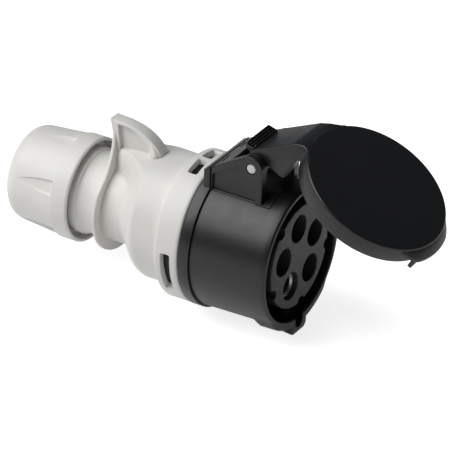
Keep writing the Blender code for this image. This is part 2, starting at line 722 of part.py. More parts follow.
def contact(kit, index):
    """One contact sleeve with its wire terminal and the screw that clamps the wire."""
    angle = contact_angle(index)
    y, z = polar(CONTACT_CIRCLE_R, angle)
    depth, bore_r = contact_sizes(index)
    outer = bore_r + SLEEVE_WALL
    front = CARRIER_FRONT_X - depth + SLEEVE_FRONT_PROUD
    collar = CARRIER_REAR_X - FIT
    collar_end = collar - SLEEVE_COLLAR_LENGTH
    end = collar_end - TERMINAL_LENGTH
    sleeve = kit.turned("contact_sleeve_%d" % (index + 1), [
        (front - PIN_BORE_DEPTH, 0),
        (front - PIN_BORE_DEPTH, bore_r),
        (front, bore_r),
        (front, outer),
        (collar, outer),
        (collar, outer + SLEEVE_COLLAR_STEP),
        (collar_end, outer + SLEEVE_COLLAR_STEP),
        (collar_end, outer),
        (end, outer),
        (end, WIRE_BORE_R),
        (end + WIRE_BORE_DEPTH, WIRE_BORE_R),
        (end + WIRE_BORE_DEPTH, 0)], SMALL_STEPS, at=(0, y, z))
    screw_x = end + TERMINAL_LENGTH / 2
    hole_r = TERMINAL_SCREW_R + FIT
    near = polar(CONTACT_CIRCLE_R, angle)
    far = polar(CONTACT_CIRCLE_R + outer + 1, angle)
    hole = kit.rods("screw_hole_%d" % index, [((screw_x, *near), (screw_x, *far), hole_r, hole_r)],
                    TINY_STEPS)
    kit.cut(sleeve, hole)
    kit.finish(sleeve, BRASS, 0.35, 1.0)

    tip = CONTACT_CIRCLE_R + WIRE_BORE_R - 0.6
    head = CONTACT_CIRCLE_R + outer + FIT
    top = head + SCREW_HEAD_LENGTH
    head_r = TERMINAL_SCREW_R + SCREW_HEAD_STEP
    place = {"at": (screw_x, 0, 0), "rotation": (math.radians(angle - 90), 0, 0)}
    screw = kit.turned("terminal_screw_%d" % (index + 1), [
        (top, 0),
        (top, head_r),
        (head, head_r),
        (head, TERMINAL_SCREW_R),
        (tip, TERMINAL_SCREW_R),
        (tip, 0)], TINY_STEPS, **place)
    half = SCREW_SLOT_WIDTH / 2
    slot = kit.boxes("slot_%d" % index,
                     [((-4, -half, top - SCREW_SLOT_DEPTH), (4, half, top + 1), 0)], **place)
    kit.cut(screw, slot)
    kit.finish(screw, STEEL, 0.35, 1.0)


def housing_radius(x, angle):
    """Rear housing behind its collar: round body, then a neck with a saddle left on top."""
    if x > CREST_X:
        start = COLLAR_REAR_X
        rise = BODY_FILLET_RISE * (1 - min((start - x) / BODY_FILLET_LENGTH, 1)) ** 3
        return lerp(BODY_R, CREST_R, (start - x) / BODY_LENGTH) + rise
    scooped = lerp(NECK_R, CREST_R, smooth((x - NECK_X) / SCOOP_LENGTH))
    span = GUARD_X - CREST_X
    saddle = CREST_R - SADDLE_DROP * ((x - CREST_X) / span) ** 2
    side = (angle_between(angle, 90.0) - SCOOP_FIRST_ANGLE) / SCOOP_FADE_ANGLE
    return lerp(saddle, scooped, smooth(side))


def guard_x(z):
    """Front face of the finger guard, which leans back towards its top."""
    t = max(z - GUARD_LEAN_FROM_Z, 0) / (HOOK_TOP_Z - GUARD_LEAN_FROM_Z)
    return GUARD_X - GUARD_LEAN * t ** 1.4


def guard_half_width(z):
    if z < GUARD_SHOULDER_Z:
        return math.sqrt(max(GUARD_R ** 2 - z ** 2, 0.25))
    shoulder = math.sqrt(GUARD_R ** 2 - GUARD_SHOULDER_Z ** 2)
    t = min((z - GUARD_SHOULDER_Z) / GUARD_SHOULDER_RISE, 1)
    return lerp(HOOK_HALF_WIDTH, shoulder, (1 - t) ** GUARD_SHOULDER_POWER)


def finger_guard(kit):
    """Thin flange round the neck that narrows upwards and ends in the hook."""
    rows = [-GUARD_R * math.cos(math.radians(a)) for a in range(0, 90, 9)]
    rows += [0, 4, 8, GUARD_SHOULDER_Z]
    rows += [GUARD_SHOULDER_Z + GUARD_SHOULDER_RISE * i / 8 for i in range(1, 9)]
    rows.append(HOOK_TOP_Z)
    rings = []
    for z in rows:
        half = guard_half_width(z)
        front = guard_x(z)
        rear = front - GUARD_THICKNESS
        rings.append([(rear, -half, z), (front, -half, z), (front, half, z), (rear, half, z)])
    return kit.loft("finger_guard", rings)


def hook(kit):
    """Web with a strap over it, from the top of the guard down onto the saddle."""
    foot_z = CREST_R - 4
    tip = (guard_x(HOOK_TOP_Z) - GUARD_THICKNESS / 2, HOOK_TOP_Z)
    toe = (CREST_X - 1.0, CREST_R + 0.4)
    crown = ((tip[0] + toe[0]) / 2 - 0.5, HOOK_TOP_Z + HOOK_BULGE)
    outline = bezier(tip, crown, toe, 12)
    outline += [(CREST_X - 1.0, foot_z), (GUARD_MID_X, foot_z)]
    back_z = HOOK_TOP_Z - HOOK_BACK_DROP
    outline.append((guard_x(back_z) - GUARD_THICKNESS / 2, back_z))
    body = kit.prism("hook", [outline], -HOOK_HALF_WIDTH, HOOK_HALF_WIDTH, 'y')
    strap = HOOK_STRAP
    inner_back_z = back_z - strap
    inner_tip = (guard_x(HOOK_TOP_Z) + 2.6, HOOK_TOP_Z - strap)
    inner_toe = (toe[0] - 3 * strap, toe[1] - 0.2)
    inner_crown = (crown[0] + 0.5, crown[1] - strap - 0.9)
    recess = bezier(inner_toe, inner_crown, inner_tip, 8)
    recess += [(guard_x(inner_back_z) + 1.5, inner_back_z), (GUARD_X + 1.0, NECK_R),
               (inner_toe[0], NECK_R)]
    near = HOOK_WEB_HALF_WIDTH
    far = HOOK_HALF_WIDTH + 1
    kit.cut(body, kit.prism("hook_recess_right", [recess], near, far, 'y'),
            kit.prism("hook_recess_left", [recess], -far, -near, 'y'))
    return body


def rear_housing(kit):
    """Collar, round body, scooped neck with finger guard and hanging hook, and gland thread."""
    stations = [(COLLAR_FRONT_X, COLLAR_R - COLLAR_CHAMFER),
                (COLLAR_FRONT_X - COLLAR_CHAMFER, COLLAR_R),
                (COLLAR_REAR_X + COLLAR_CHAMFER, COLLAR_R),
                (COLLAR_REAR_X, COLLAR_R - COLLAR_CHAMFER)]
    rings = [circle_ring(x, lambda a: r, LARGE_STEPS) for x, r in stations]
    body = [COLLAR_REAR_X - 0.01, COLLAR_REAR_X - 0.35 * BODY_FILLET_LENGTH,
            COLLAR_REAR_X - BODY_FILLET_LENGTH, CREST_X]
    body += [CREST_X - SCOOP_LENGTH * i / 8 for i in range(1, 9)]
    body += [GUARD_MID_X]
    for x in body:
        rings.append(circle_ring(x, lambda a: housing_radius(x, a), LARGE_STEPS))
    tail = [(GUARD_MID_X - 0.3, NECK_R),
            (NECK_RING_X, NECK_R),
            (NECK_RING_X, NECK_R + NECK_RING_STEP),
            (THREAD_X, NECK_R + NECK_RING_STEP),
            (THREAD_X, THREAD_R),
            (NECK_END_X + 0.5, THREAD_R),
            (NECK_END_X, THREAD_R - 0.5)]
    rings += [circle_ring(x, lambda a: r, LARGE_STEPS) for x, r in tail]
    housing = kit.loft("rear_housing", rings)
    cavity = kit.turned("housing_cavity", [
        (COLLAR_FRONT_X + 1, 0),
        (COLLAR_FRONT_X + 1, COLLAR_BORE_R),
        (SLEEVE_END_X - FIT, COLLAR_BORE_R),
        (SLEEVE_END_X - FIT, BODY_R - BODY_WALL),
        (CREST_X + 1.5, CREST_R - BODY_WALL - 0.1),
        (NECK_X + 3.5, NECK_BORE_R + 1.3),
        (GUARD_X, NECK_BORE_R),
        (NECK_END_X - 1, NECK_BORE_R),
        (NECK_END_X - 1, 0)], LARGE_STEPS)
    windows = [sector(COLLAR_BORE_R - 1, COLLAR_R + 2, c, TOP_WINDOW_ANGLE, 3)
               for c in TOP_WINDOW_CENTRES]
    windows += [sector(COLLAR_BORE_R - 1, COLLAR_R + 2, c, SIDE_WINDOW_ANGLE, 6)
                for c in SIDE_WINDOW_CENTRES]
    front = COLLAR_FRONT_X - WINDOW_SETBACK
    window = kit.prism("windows", windows, front - WINDOW_LENGTH, front, 'x')
    kit.join(housing, finger_guard(kit), hook(kit))
    kit.cut(housing, cavity, window)
    kit.finish(housing, GREY, 0.45)


def gland(kit):
    """Nut, cable seal, clamp collet and the ring that lets the nut turn on the collet."""
    mouth_r = NUT_THREAD_R + NUT_MOUTH_STEP
    mouth_x = NUT_FRONT_X - NUT_MOUTH_LENGTH
    dome = NUT_BARREL_R - NUT_TAPER
    cone_end = NUT_CONE_X - NUT_CONE_LENGTH
    nut = kit.turned("gland_nut", [
        (NUT_FRONT_X, mouth_r + 0.8),
        (NUT_FRONT_X - 0.4, NUT_RIM_R - 0.4),
        (NUT_FRONT_X - 1.2, NUT_RIM_R),
        (NUT_BARREL_X, NUT_RIM_R),
        (NUT_BARREL_X - 0.3, NUT_BARREL_R),
        (NUT_DOME_X, dome),
        (NUT_DOME_X - 0.52 * NUT_DOME_LENGTH, dome - 1.5),
        (NUT_DOME_X - 0.86 * NUT_DOME_LENGTH, dome - 4.3),
        (NUT_REAR_X, dome - 8.0),
        (NUT_REAR_X, NUT_BORE_R),
        (cone_end, NUT_BORE_R + 0.8),
        (NUT_CONE_X, NUT_CONE_R),
        (NUT_CONE_X, NUT_THREAD_R),
        (mouth_x, NUT_THREAD_R),
        (mouth_x, mouth_r),
        (NUT_FRONT_X, mouth_r)], LARGE_STEPS)
    flutes = []
    for index in range(FLUTE_COUNT):
        angle = FLUTE_ANGLE + 360.0 * index / FLUTE_COUNT
        start = polar(NUT_BARREL_R - FLUTE_DEPTH + FLUTE_R, angle)
        end_r = NUT_BARREL_R - NUT_TAPER * FLUTE_LENGTH / NUT_BARREL_LENGTH
        end = polar(end_r + 0.2, angle)
        flutes.append(((NUT_BARREL_X - 0.3, *start), (NUT_BARREL_X - FLUTE_LENGTH, *end),
                       FLUTE_R, 0.3))
    kit.cut(nut, kit.rods("flutes", flutes, SMALL_STEPS))
    kit.finish(nut, GREY, 0.45)

    bush_r = NECK_BORE_R - FIT
    nose_r = COLLET_BORE_R - FIT
    bush_end = NECK_END_X + FIT
    bush_start = bush_end + SEAL_BUSH_LENGTH
    nose_end = COLLET_X - SEAL_NOSE_LENGTH
    seal = kit.turned("gland_seal", [
        (bush_start, CABLE_BORE_R),
        (bush_start, bush_r),
        (bush_end, bush_r),
        (bush_end, nose_r),
        (nose_end, nose_r),
        (nose_end, CABLE_BORE_R)], MEDIUM_STEPS)
    kit.finish(seal, RUBBER, 0.7)

    root_r = NUT_CONE_R - 0.5
    finger_end = FINGER_X - COLLET_FINGER_LENGTH
    slope = (NUT_CONE_R - NUT_BORE_R - 0.8) / NUT_CONE_LENGTH
    tip_r = root_r - slope * (NUT_CONE_X - finger_end)
    collet = kit.turned("clamp_collet", [
        (COLLET_X, COLLET_BORE_R),
        (COLLET_X, COLLET_BASE_R),
        (FINGER_X, COLLET_BASE_R),
        (FINGER_X, root_r),
        (NUT_CONE_X, root_r),
        (finger_end, tip_r),
        (finger_end, COLLET_BORE_R - 0.8),
        (nose_end - 0.5, COLLET_BORE_R)], MEDIUM_STEPS)
    slots = []
    half = COLLET_SLOT_WIDTH / 2
    for index in range(COLLET_SLOTS):
        low = (finger_end - 1, -half, COLLET_BORE_R - 4)
        high = (FINGER_X - 1, half, COLLET_BASE_R + 1)
        slots.append((low, high, 360.0 * index / COLLET_SLOTS))
    kit.cut(collet, kit.boxes("collet_slots", slots))
    kit.finish(collet, NYLON, 0.5)

    ring_x = FINGER_X - FIT
    ring = kit.turned("slip_ring", [
        (ring_x, root_r + FIT),
        (ring_x, NUT_THREAD_R - FIT),
        (ring_x - SLIP_RING_LENGTH, NUT_THREAD_R - FIT),
        (ring_x - SLIP_RING_LENGTH, root_r + FIT)], MEDIUM_STEPS)
    kit.finish(ring, NYLON, 0.5)


def lid_lip(kit):
    """Finger lip along the free edge of the lid, fading out at both ends."""
    rings = []
    limit = LIP_HALF_ANGLE + LIP_FADE_ANGLE
    count = 14
    for i in range(count + 1):
        angle = lerp(-limit, limit, i / count)
        full = smooth((limit - abs(angle)) / LIP_FADE_ANGLE)
        reach = LID_R - 0.9 + (LIP_REACH + 0.9) * full
        top = LID_TOP_N - 0.6 - LIP_SLOPE * full
        root = LID_R - LID_WALL * 0.7
        section = [(root, LID_TOP_N - 0.5), (reach, top), (reach, top - LIP_EDGE),
                   (root, top - LIP_EDGE - 0.2)]
        ring = []
        for radius, n in section:
            s, y = polar(radius, angle)
            ring.append((LID_CENTRE_S + s, y, n))
        rings.append(ring)
    return kit.loft("lid_lip", rings)


def lid_arm(kit):
    """Hollow arm from the lid's disc to its two hinge knuckles, with a ridged thumb bar."""
    wall = ARM_WALL
    foot_s = -KNUCKLE_R - 0.6
    slope = (ARM_CROWN_N - ARM_FOOT_N) / (ARM_CROWN_S - foot_s)
    facet = math.atan(slope)
    under = wall / math.cos(facet)
    inner_s = KNUCKLE_R + 0.6
    web_s = PIN_Z - math.sqrt(SHELL_R ** 2 - (ARM_HALF_WIDTH - wall) ** 2) - 0.3
    disc_s = web_s + 5.8

    def facet_n(s):
        return ARM_CROWN_N + (s - ARM_CROWN_S) * slope

    outline = [(foot_s, ARM_FOOT_N),
               (ARM_CROWN_S, ARM_CROWN_N),
               (ARM_CROWN_S + ARM_SHOULDER, LID_TOP_N - 1.6),
               (ARM_CROWN_S + ARM_MERGE, LID_TOP_N - 0.1),
               (disc_s, LID_TOP_N - 0.1),
               (disc_s, LID_PLATE_N - 0.1),
               (web_s, LID_SKIRT_N),
               (web_s, ARM_BELLY_N),
               (web_s - 2, ARM_BELLY_N - 2),
               (KNUCKLE_R - 0.6, KNUCKLE_R - 1.0),
               (0.4 * KNUCKLE_R, -0.5 * KNUCKLE_R),
               (-0.7 * KNUCKLE_R, -0.4 * KNUCKLE_R)]
    arm = kit.prism("lid_arm", [outline], -ARM_HALF_WIDTH, ARM_HALF_WIDTH, 'y')
    knuckle = [((0, side * SPRING_POCKET_HALF, 0), (0, side * ARM_HALF_WIDTH, 0), KNUCKLE_R,
                KNUCKLE_R) for side in (-1, 1)]
    knuckles = kit.rods("knuckles", knuckle, SMALL_STEPS)

    thumb = [(-THUMB_REACH, ARM_FOOT_N - 0.2)]
    run = THUMB_DEPTH / THUMB_RIDGES
    for i in range(THUMB_RIDGES):
        s = -THUMB_REACH + run * i
        n = ARM_FOOT_N - 0.2 + 0.28 * run * i
        thumb.append((s + 0.35 * run, n + THUMB_RIDGE_HEIGHT))
        thumb.append((s + 0.7 * run, n + THUMB_RIDGE_HEIGHT))
        thumb.append((s + run, n + 0.28 * run))
    root_s = -SPRING_POCKET_R + 2.3
    thumb += [(root_s, KNUCKLE_R), (root_s, 0.0), (-THUMB_REACH + 1.0, 1.0)]
    bar = kit.prism("thumb_bar", [thumb], -THUMB_HALF_WIDTH, THUMB_HALF_WIDTH, 'y')
    kit.join(arm, knuckles, bar)

    bend_s = ARM_CROWN_S + 1.6
    below = -KNUCKLE_R - 2.4
    cavity = [(inner_s, below),
              (inner_s, facet_n(inner_s) - under),
              (bend_s, facet_n(bend_s) - under + 0.2),
              (ARM_CROWN_S + 5.2, LID_PLATE_N - 0.7),
              (disc_s + 4, LID_PLATE_N - 0.1),
              (disc_s + 4, below)]
    hollow = kit.prism("arm_hollow", [cavity], wall - ARM_HALF_WIDTH, ARM_HALF_WIDTH - wall, 'y')
    start_s = -SPRING_POCKET_R + ARM_SPLIT
    end_s = inner_s + 0.2
    channel = [(start_s, KNUCKLE_R - 2.6),
               (start_s, facet_n(start_s) - under),
               (end_s, facet_n(end_s) - under),
               (end_s, below),
               (0.5 * KNUCKLE_R, below)]
    half = SPRING_POCKET_HALF
    spring_channel = kit.prism("spring_channel", [channel], -half, half, 'y')
    pocket = kit.rods("spring_pocket", [((0, -half, 0), (0, half, 0), SPRING_POCKET_R,
                                         SPRING_POCKET_R)], SMALL_STEPS)
    far = ARM_HALF_WIDTH + 1
    bore = kit.rods("knuckle_bore", [((0, -far, 0), (0, far, 0), PIN_HOLE_R, PIN_HOLE_R)],
                    SMALL_STEPS)
    kit.cut(arm, hollow, spring_channel, pocket, bore)
    return arm


def lid(kit):
    kit.owner = kit.lid_hinge
    centre = (LID_CENTRE_S, 0, 0)
    upright = (0, 0, 0)
    cap = kit.turned("lid", [
        (LID_TOP_N, 0),
        (LID_TOP_N, LID_R - 1.5),
        (LID_TOP_N - 0.45, LID_R - 0.45),
        (LID_TOP_N - 1.5, LID_R),
        (LID_SKIRT_N, LID_R),
        (LID_SKIRT_N, 0)], LARGE_STEPS, at=centre, rotation=upright)
    hollow = kit.turned("lid_hollow", [
        (LID_PLATE_N, 0),
        (LID_PLATE_N, LID_BORE_R),
        (LID_SKIRT_N - 1, LID_BORE_R),
        (LID_SKIRT_N - 1, 0)], LARGE_STEPS, at=centre, rotation=upright)
    kit.join(cap, lid_lip(kit))
    kit.cut(cap, hollow)
    rib_end = GASKET_N + GASKET_HEIGHT + FIT
    rib = kit.turned("gasket_rib", [
        (LID_PLATE_N + 0.5, GASKET_R - GASKET_WIDTH / 2),
        (LID_PLATE_N + 0.5, GASKET_R + GASKET_WIDTH / 2),
        (rib_end, GASKET_R + GASKET_WIDTH / 2),
        (rib_end, GASKET_R - GASKET_WIDTH / 2)], LARGE_STEPS, at=(PIN_Z, 0, 0), rotation=upright)
    nose_s = PIN_Z + KEYWAY_R - NOSE_CLEARANCE
    nose_end = HINGE_SETBACK - NOSE_LENGTH
    nose = kit.boxes("nose", [((nose_s - NOSE_THICKNESS, -NOSE_HALF_WIDTH, nose_end),
                               (nose_s, NOSE_HALF_WIDTH, LID_PLATE_N + 0.5), 0)])
    kit.join(cap, rib, lid_arm(kit), nose)
    kit.finish(cap, BLACK, 0.4)

    gasket = kit.turned("lid_gasket", [
        (GASKET_N + GASKET_HEIGHT, GASKET_R - GASKET_WIDTH / 2),
        (GASKET_N + GASKET_HEIGHT, GASKET_R + GASKET_WIDTH / 2),
        (GASKET_N, GASKET_R + GASKET_WIDTH / 2),
        (GASKET_N, GASKET_R - GASKET_WIDTH / 2)], LARGE_STEPS, at=(PIN_Z, 0, 0), rotation=upright)
    kit.finish(gasket, RUBBER, 0.7)
    kit.owner = kit.root


def hinge_pin(kit):
    half = PIN_HALF_LENGTH
    pin = kit.turned("hinge_pin", [
        (half, 0),
        (half, PIN_R - 0.4),
        (half - 0.4, PIN_R),
        (0.4 - half, PIN_R),
        (-half, PIN_R - 0.4),
        (-half, 0)], SMALL_STEPS, at=(PIN_X, 0, PIN_Z), rotation=(math.pi / 2, 0, 0))
    kit.finish(pin, STEEL, 0.35, 0.2)


def lid_spring(kit):
    """Torsion spring round the pin: one leg under the arm, one on the floor of the pocket."""
    foot = (POCKET_X + 2.2 - PIN_X, SHELL_R + WIRE_R + 0.4 - PIN_Z)
    reach = math.hypot(*foot)
    leg = math.sqrt(reach ** 2 - COIL_R ** 2)
    start = math.atan2(foot[1], foot[0]) - math.atan2(leg, COIL_R) + 2 * math.pi
    ux, uz = lid_point(*polar(1, math.degrees(math.atan2(ARM_CROWN_N - ARM_FOOT_N,
                                                         ARM_CROWN_S + KNUCKLE_R + 0.6))))
    end = math.atan2(ux, -uz)
    sweep = (start - end) % (2 * math.pi) + 2 * math.pi * COIL_TURNS
    points = [(foot[0], -COIL_HALF_LENGTH, foot[1])]
    count = COIL_STEPS * (COIL_TURNS + 1)
    for i in range(count + 1):
        a = start - sweep * i / count
        y = lerp(-COIL_HALF_LENGTH, COIL_HALF_LENGTH, i / count)
        points.append((COIL_R * math.cos(a), y, COIL_R * math.sin(a)))
    last = points[-1]
    points.append((last[0] + ux * SPRING_LEG, COIL_HALF_LENGTH, last[2] + uz * SPRING_LEG))
    curve = bpy.data.curves.new("lid_spring", 'CURVE')
    curve.dimensions = '3D'
    curve.bevel_depth = WIRE_R * MM
    curve.bevel_resolution = 1
    curve.use_fill_caps = True
    spline = curve.splines.new('POLY')
    spline.points.add(len(points) - 1)
    for point, (x, y, z) in zip(spline.points, points):
        point.co = ((PIN_X + x) * MM, y * MM, (PIN_Z + z) * MM, 1)
    spring = kit.from_curve("lid_spring", curve, Matrix())
    kit.finish(spring, STEEL, 0.3, 1.0)


def build():
    kit = Builder()
    front_shell(kit)
    coupling_ring(kit)
    contact_carrier(kit)
    for index in range(CONTACT_COUNT):
        contact(kit, index)
    rear_housing(kit)
    gland(kit)
    lid(kit)
    hinge_pin(kit)
    lid_spring(kit)


build()
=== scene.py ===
"""Looks of the trailing industrial socket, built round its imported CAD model.

Shapes are drawn in millimetres in the source's own frame, x = 0 at the front rim, and moved into
the model's frame as they are made. The lid's shapes are drawn in the lid's frame: s from the hinge
to the free edge, y across, n out through the lid's face.
"""

import math

import bmesh
import bpy
from mathutils import Matrix, Vector


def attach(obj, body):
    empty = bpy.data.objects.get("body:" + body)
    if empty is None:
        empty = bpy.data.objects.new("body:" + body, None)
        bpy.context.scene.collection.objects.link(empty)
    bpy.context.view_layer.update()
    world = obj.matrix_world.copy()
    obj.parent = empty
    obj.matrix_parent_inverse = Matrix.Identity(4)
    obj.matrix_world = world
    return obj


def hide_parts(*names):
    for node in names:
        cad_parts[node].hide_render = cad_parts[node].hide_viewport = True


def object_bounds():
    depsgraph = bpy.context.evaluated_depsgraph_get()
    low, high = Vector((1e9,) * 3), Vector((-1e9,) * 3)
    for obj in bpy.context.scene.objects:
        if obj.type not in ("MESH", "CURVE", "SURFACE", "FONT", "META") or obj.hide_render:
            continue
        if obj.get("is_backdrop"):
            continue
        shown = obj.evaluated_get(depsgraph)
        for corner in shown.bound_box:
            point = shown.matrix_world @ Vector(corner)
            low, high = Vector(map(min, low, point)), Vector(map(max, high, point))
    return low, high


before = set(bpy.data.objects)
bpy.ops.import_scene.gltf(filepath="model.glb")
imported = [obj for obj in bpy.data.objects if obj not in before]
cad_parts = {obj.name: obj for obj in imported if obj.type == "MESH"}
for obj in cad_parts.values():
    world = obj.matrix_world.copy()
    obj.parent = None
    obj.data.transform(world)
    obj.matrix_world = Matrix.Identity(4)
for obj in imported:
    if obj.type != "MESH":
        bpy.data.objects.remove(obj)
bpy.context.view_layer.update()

MM = 0.001
FACE_X = 1.0                # the front rim in the model's frame
PIN_X = -19.0               # axis of the hinge pin
PIN_Z = 48.5
TILT = math.radians(30.5)   # of the open lid and of the hinge block's back
ROOT = Matrix.Translation((FACE_X * MM, 0, 0)) @ Matrix.Scale(MM, 4)
HINGE = Matrix.Translation(((PIN_X + FACE_X) * MM, 0, PIN_Z * MM))
LID = HINGE @ Matrix.Rotation(TILT, 4, 'Y') @ Matrix.Scale(MM, 4)
PIN_PLACE = HINGE @ Matrix.Rotation(math.pi / 2, 4, 'Z') @ Matrix.Scale(MM, 4)

# Steps round a turned piece
FINE = 192
BIG = 144
MID = 72
SMALL = 40
ANGLES = [360.0 * (i + 0.5) / BIG for i in range(BIG)]

SHARP = math.radians(34)    # edges that turn by more than this stay sharp
MIN_BEND = 0.15             # radians: corners that turn by less aren't rounded
SIDE_SHARE = 0.45           # of a side that a rounded corner takes at most
BEVEL = {"segments": 3, "profile": 0.5, "affect": 'EDGES'}
TOP = 90.0                  # degrees round the axis
BOTTOM = 270.0


# Shapes

def smooth(t):
    t = min(max(t, 0.0), 1.0)
    return t * t * (3.0 - 2.0 * t)


def lerp(a, b, t):
    return a + (b - a) * t


def table(points, x):
    """Height over x on a line through points, level beyond its last one."""
    for (x0, y0), (x1, y1) in zip(points, points[1:]):
        if x <= x1:
            return lerp(y0, y1, (x - x0) / (x1 - x0))
    return points[-1][1]


def angle_between(angle, centre):
    return abs((angle - centre + 180.0) % 360.0 - 180.0)


def polar(radius, angle):
    a = math.radians(angle)
    return radius * math.cos(a), radius * math.sin(a)


def circle(x, radius):
    return [(x, *polar(radius, angle)) for angle in ANGLES]


def arc(centre, radius, start, end, count):
    points = []
    for i in range(count + 1):
        a, b = polar(radius, lerp(start, end, i / count))
        points.append((centre[0] + a, centre[1] + b))
    return points


def sector(inner, outer, centre, width, count):
    low, high = centre - width / 2, centre + width / 2
    return arc((0, 0), outer, low, high, count) + arc((0, 0), inner, high, low, count)


def bezier(p0, p1, p2, count):
    points = []
    for i in range(count + 1):
        t = i / count
        a, b, c = (1 - t) ** 2, 2 * t * (1 - t), t ** 2
        points.append((a * p0[0] + b * p1[0] + c * p2[0], a * p0[1] + b * p1[1] + c * p2[1]))
    return points


def soften(points, size, closed=True, count=3):
    """Round the corners of an outline. size is one reach for all corners, or one for each."""
    result = []
    total = len(points)
    for i, point in enumerate(points):
        reach = size[i] if isinstance(size, list) else size
        if reach <= 0 or (not closed and i in (0, total - 1)):
            result.append(point)
            continue
        here = Vector(point)
        before = Vector(points[i - 1]) - here
        after = Vector(points[(i + 1) % total]) - here
        if math.pi - before.angle(after, math.pi) < MIN_BEND:
            result.append(point)
            continue
        d = min(reach, SIDE_SHARE * before.length, SIDE_SHARE * after.length)
        start = here + before.normalized() * d
        end = here + after.normalized() * d
        result += bezier(start, here, end, count)
    return result


def add_object(name, data):
    obj = bpy.data.objects.new(name, data)
    bpy.context.scene.collection.objects.link(obj)
    return obj


def from_bmesh(name, work, place):
    bmesh.ops.recalc_face_normals(work, faces=work.faces)
    mesh = bpy.data.meshes.new(name)
    work.to_mesh(mesh)
    work.free()
    mesh.transform(place)
    return add_object(name, mesh)


def skin(name, rings, place=ROOT):
    """Surface through rings of points, closed at both ends."""
    work = bmesh.new()
    rows = [[work.verts.new(point) for point in ring] for ring in rings]
    count = len(rings[0])
    work.faces.new(rows[0])
    work.faces.new(reversed(rows[-1]))
    for a, b in zip(rows, rows[1:]):
        for i in range(count):
            j = (i + 1) % count
            work.faces.new((a[i], b[i], b[j], a[j]))
    return from_bmesh(name, work, place)


def spin(name, profile, steps, place=ROOT, centre=(0.0, 0.0), upright=False):
    """Turn a profile of (axial, radius) points about x, or about n when upright.

    A profile is closed: both its ends lie on the axis, or it runs round on itself.
    """
    work = bmesh.new()

    def point(axial, radius, angle):
        a, b = radius * math.cos(angle), radius * math.sin(angle)
        if upright:
            return centre[0] + a, centre[1] + b, axial
        return axial, centre[0] + a, centre[1] + b

    phase = math.pi / steps
    columns = []
    ends = {}
    for k in (0, len(profile) - 1):
        if profile[k][1] == 0:
            ends[k] = work.verts.new(point(profile[k][0], 0, 0))
    for i in range(steps):
        angle = phase + 2 * math.pi * i / steps
        column = []
        for k, (axial, radius) in enumerate(profile):
            column.append(ends[k] if k in ends else work.verts.new(point(axial, radius, angle)))
        columns.append(column)
    rows = len(profile) - 1 if ends else len(profile)
    for i in range(steps):
        a, b = columns[i], columns[(i + 1) % steps]
        for k in range(rows):
            m = (k + 1) % len(profile)
            corners = []
            for v in (a[k], a[m], b[m], b[k]):
                if v not in corners:
                    corners.append(v)
            work.faces.new(corners)
    return from_bmesh(name, work, place)


def prism(name, outline, low, high, axis='y', place=ROOT, bevel=0.0):
    """Outline in XZ carried along y, or in YZ carried along x, with its two rims bevelled."""
    work = bmesh.new()

    def point(a, b, c):
        return (a, c, b) if axis == 'y' else (c, a, b)

    near = [work.verts.new(point(a, b, low)) for a, b in outline]
    far = [work.verts.new(point(a, b, high)) for a, b in outline]
    caps = [work.faces.new(near), work.faces.new(far)]
    for i in range(len(outline)):
        j = (i + 1) % len(outline)
        work.faces.new((near[i], near[j], far[j], far[i]))
    bmesh.ops.recalc_face_normals(work, faces=work.faces)
    if bevel:
        rim = [e for cap in caps for e in cap.edges]
        bmesh.ops.bevel(work, geom=rim, offset=bevel, **BEVEL)
    return from_bmesh(name, work, place)


def rods(name, items, steps=SMALL, place=ROOT):
    """Rods or cones from (start, end, start radius, end radius)."""
    work = bmesh.new()
    for start, end, r0, r1 in items:
        start, end = Vector(start), Vector(end)
        turn = Vector((0, 0, 1)).rotation_difference(end - start).to_matrix().to_4x4()
        bmesh.ops.create_cone(work, cap_ends=True, segments=steps, radius1=r0, radius2=r1,
                              depth=(end - start).length,
                              matrix=Matrix.Translation((start + end) / 2) @ turn)
    return from_bmesh(name, work, place)


def block(name, low, high, place=ROOT, bevel=0.0):
    work = bmesh.new()
    low, high = Vector(low), Vector(high)
    scale = Matrix.Diagonal((*(high - low), 1))
    bmesh.ops.create_cube(work, size=1, matrix=Matrix.Translation((low + high) / 2) @ scale)
    if bevel:
        bmesh.ops.bevel(work, geom=work.edges[:], offset=bevel, **BEVEL)
    return from_bmesh(name, work, place)


def combine(base, operation, tools):
    for tool in tools:
        modifier = base.modifiers.new(tool.name, 'BOOLEAN')
        modifier.operation = operation
        modifier.object = tool
        modifier.solver = 'MANIFOLD'
    bpy.context.view_layer.update()
    graph = bpy.context.evaluated_depsgraph_get()
    mesh = bpy.data.meshes.new_from_object(base.evaluated_get(graph))
    base.modifiers.clear()
    base.data = mesh
    for tool in tools:
        bpy.data.objects.remove(tool)
    return base


def join(base, *tools):
    return combine(base, 'UNION', tools)


def cut(base, *tools):
    return combine(base, 'DIFFERENCE', tools)


def finish(obj, body, material, node):
    """Shade a piece, give it its material, hang it on its body and hide the CAD node it stands
    for.
    """
    obj.data.shade_smooth()
    obj.data.set_sharp_from_angle(angle=SHARP)
    obj.data.materials.clear()
    obj.data.materials.append(material)
    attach(obj, body)
    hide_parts(node)


# Materials

NOISE_ROUGHNESS = 0.55
NOISE_LOW = 0.3             # the part of a noise's range that is used
NOISE_HIGH = 0.7
FINE_GRAIN = 0.000012       # heights of surface texture in metres
NYLON_GRAIN = 0.00002
RUBBER_GRAIN = 0.00003
METAL_GRAIN = 0.00001


def new_material(name):
    """A material with its node tree, its shader and the object's own coordinates."""
    material = bpy.data.materials.new(name)
    material.use_nodes = True
    tree = material.node_tree
    place = tree.nodes.new('ShaderNodeTexCoord')
    return material, tree, tree.nodes["Principled BSDF"], place.outputs["Object"]


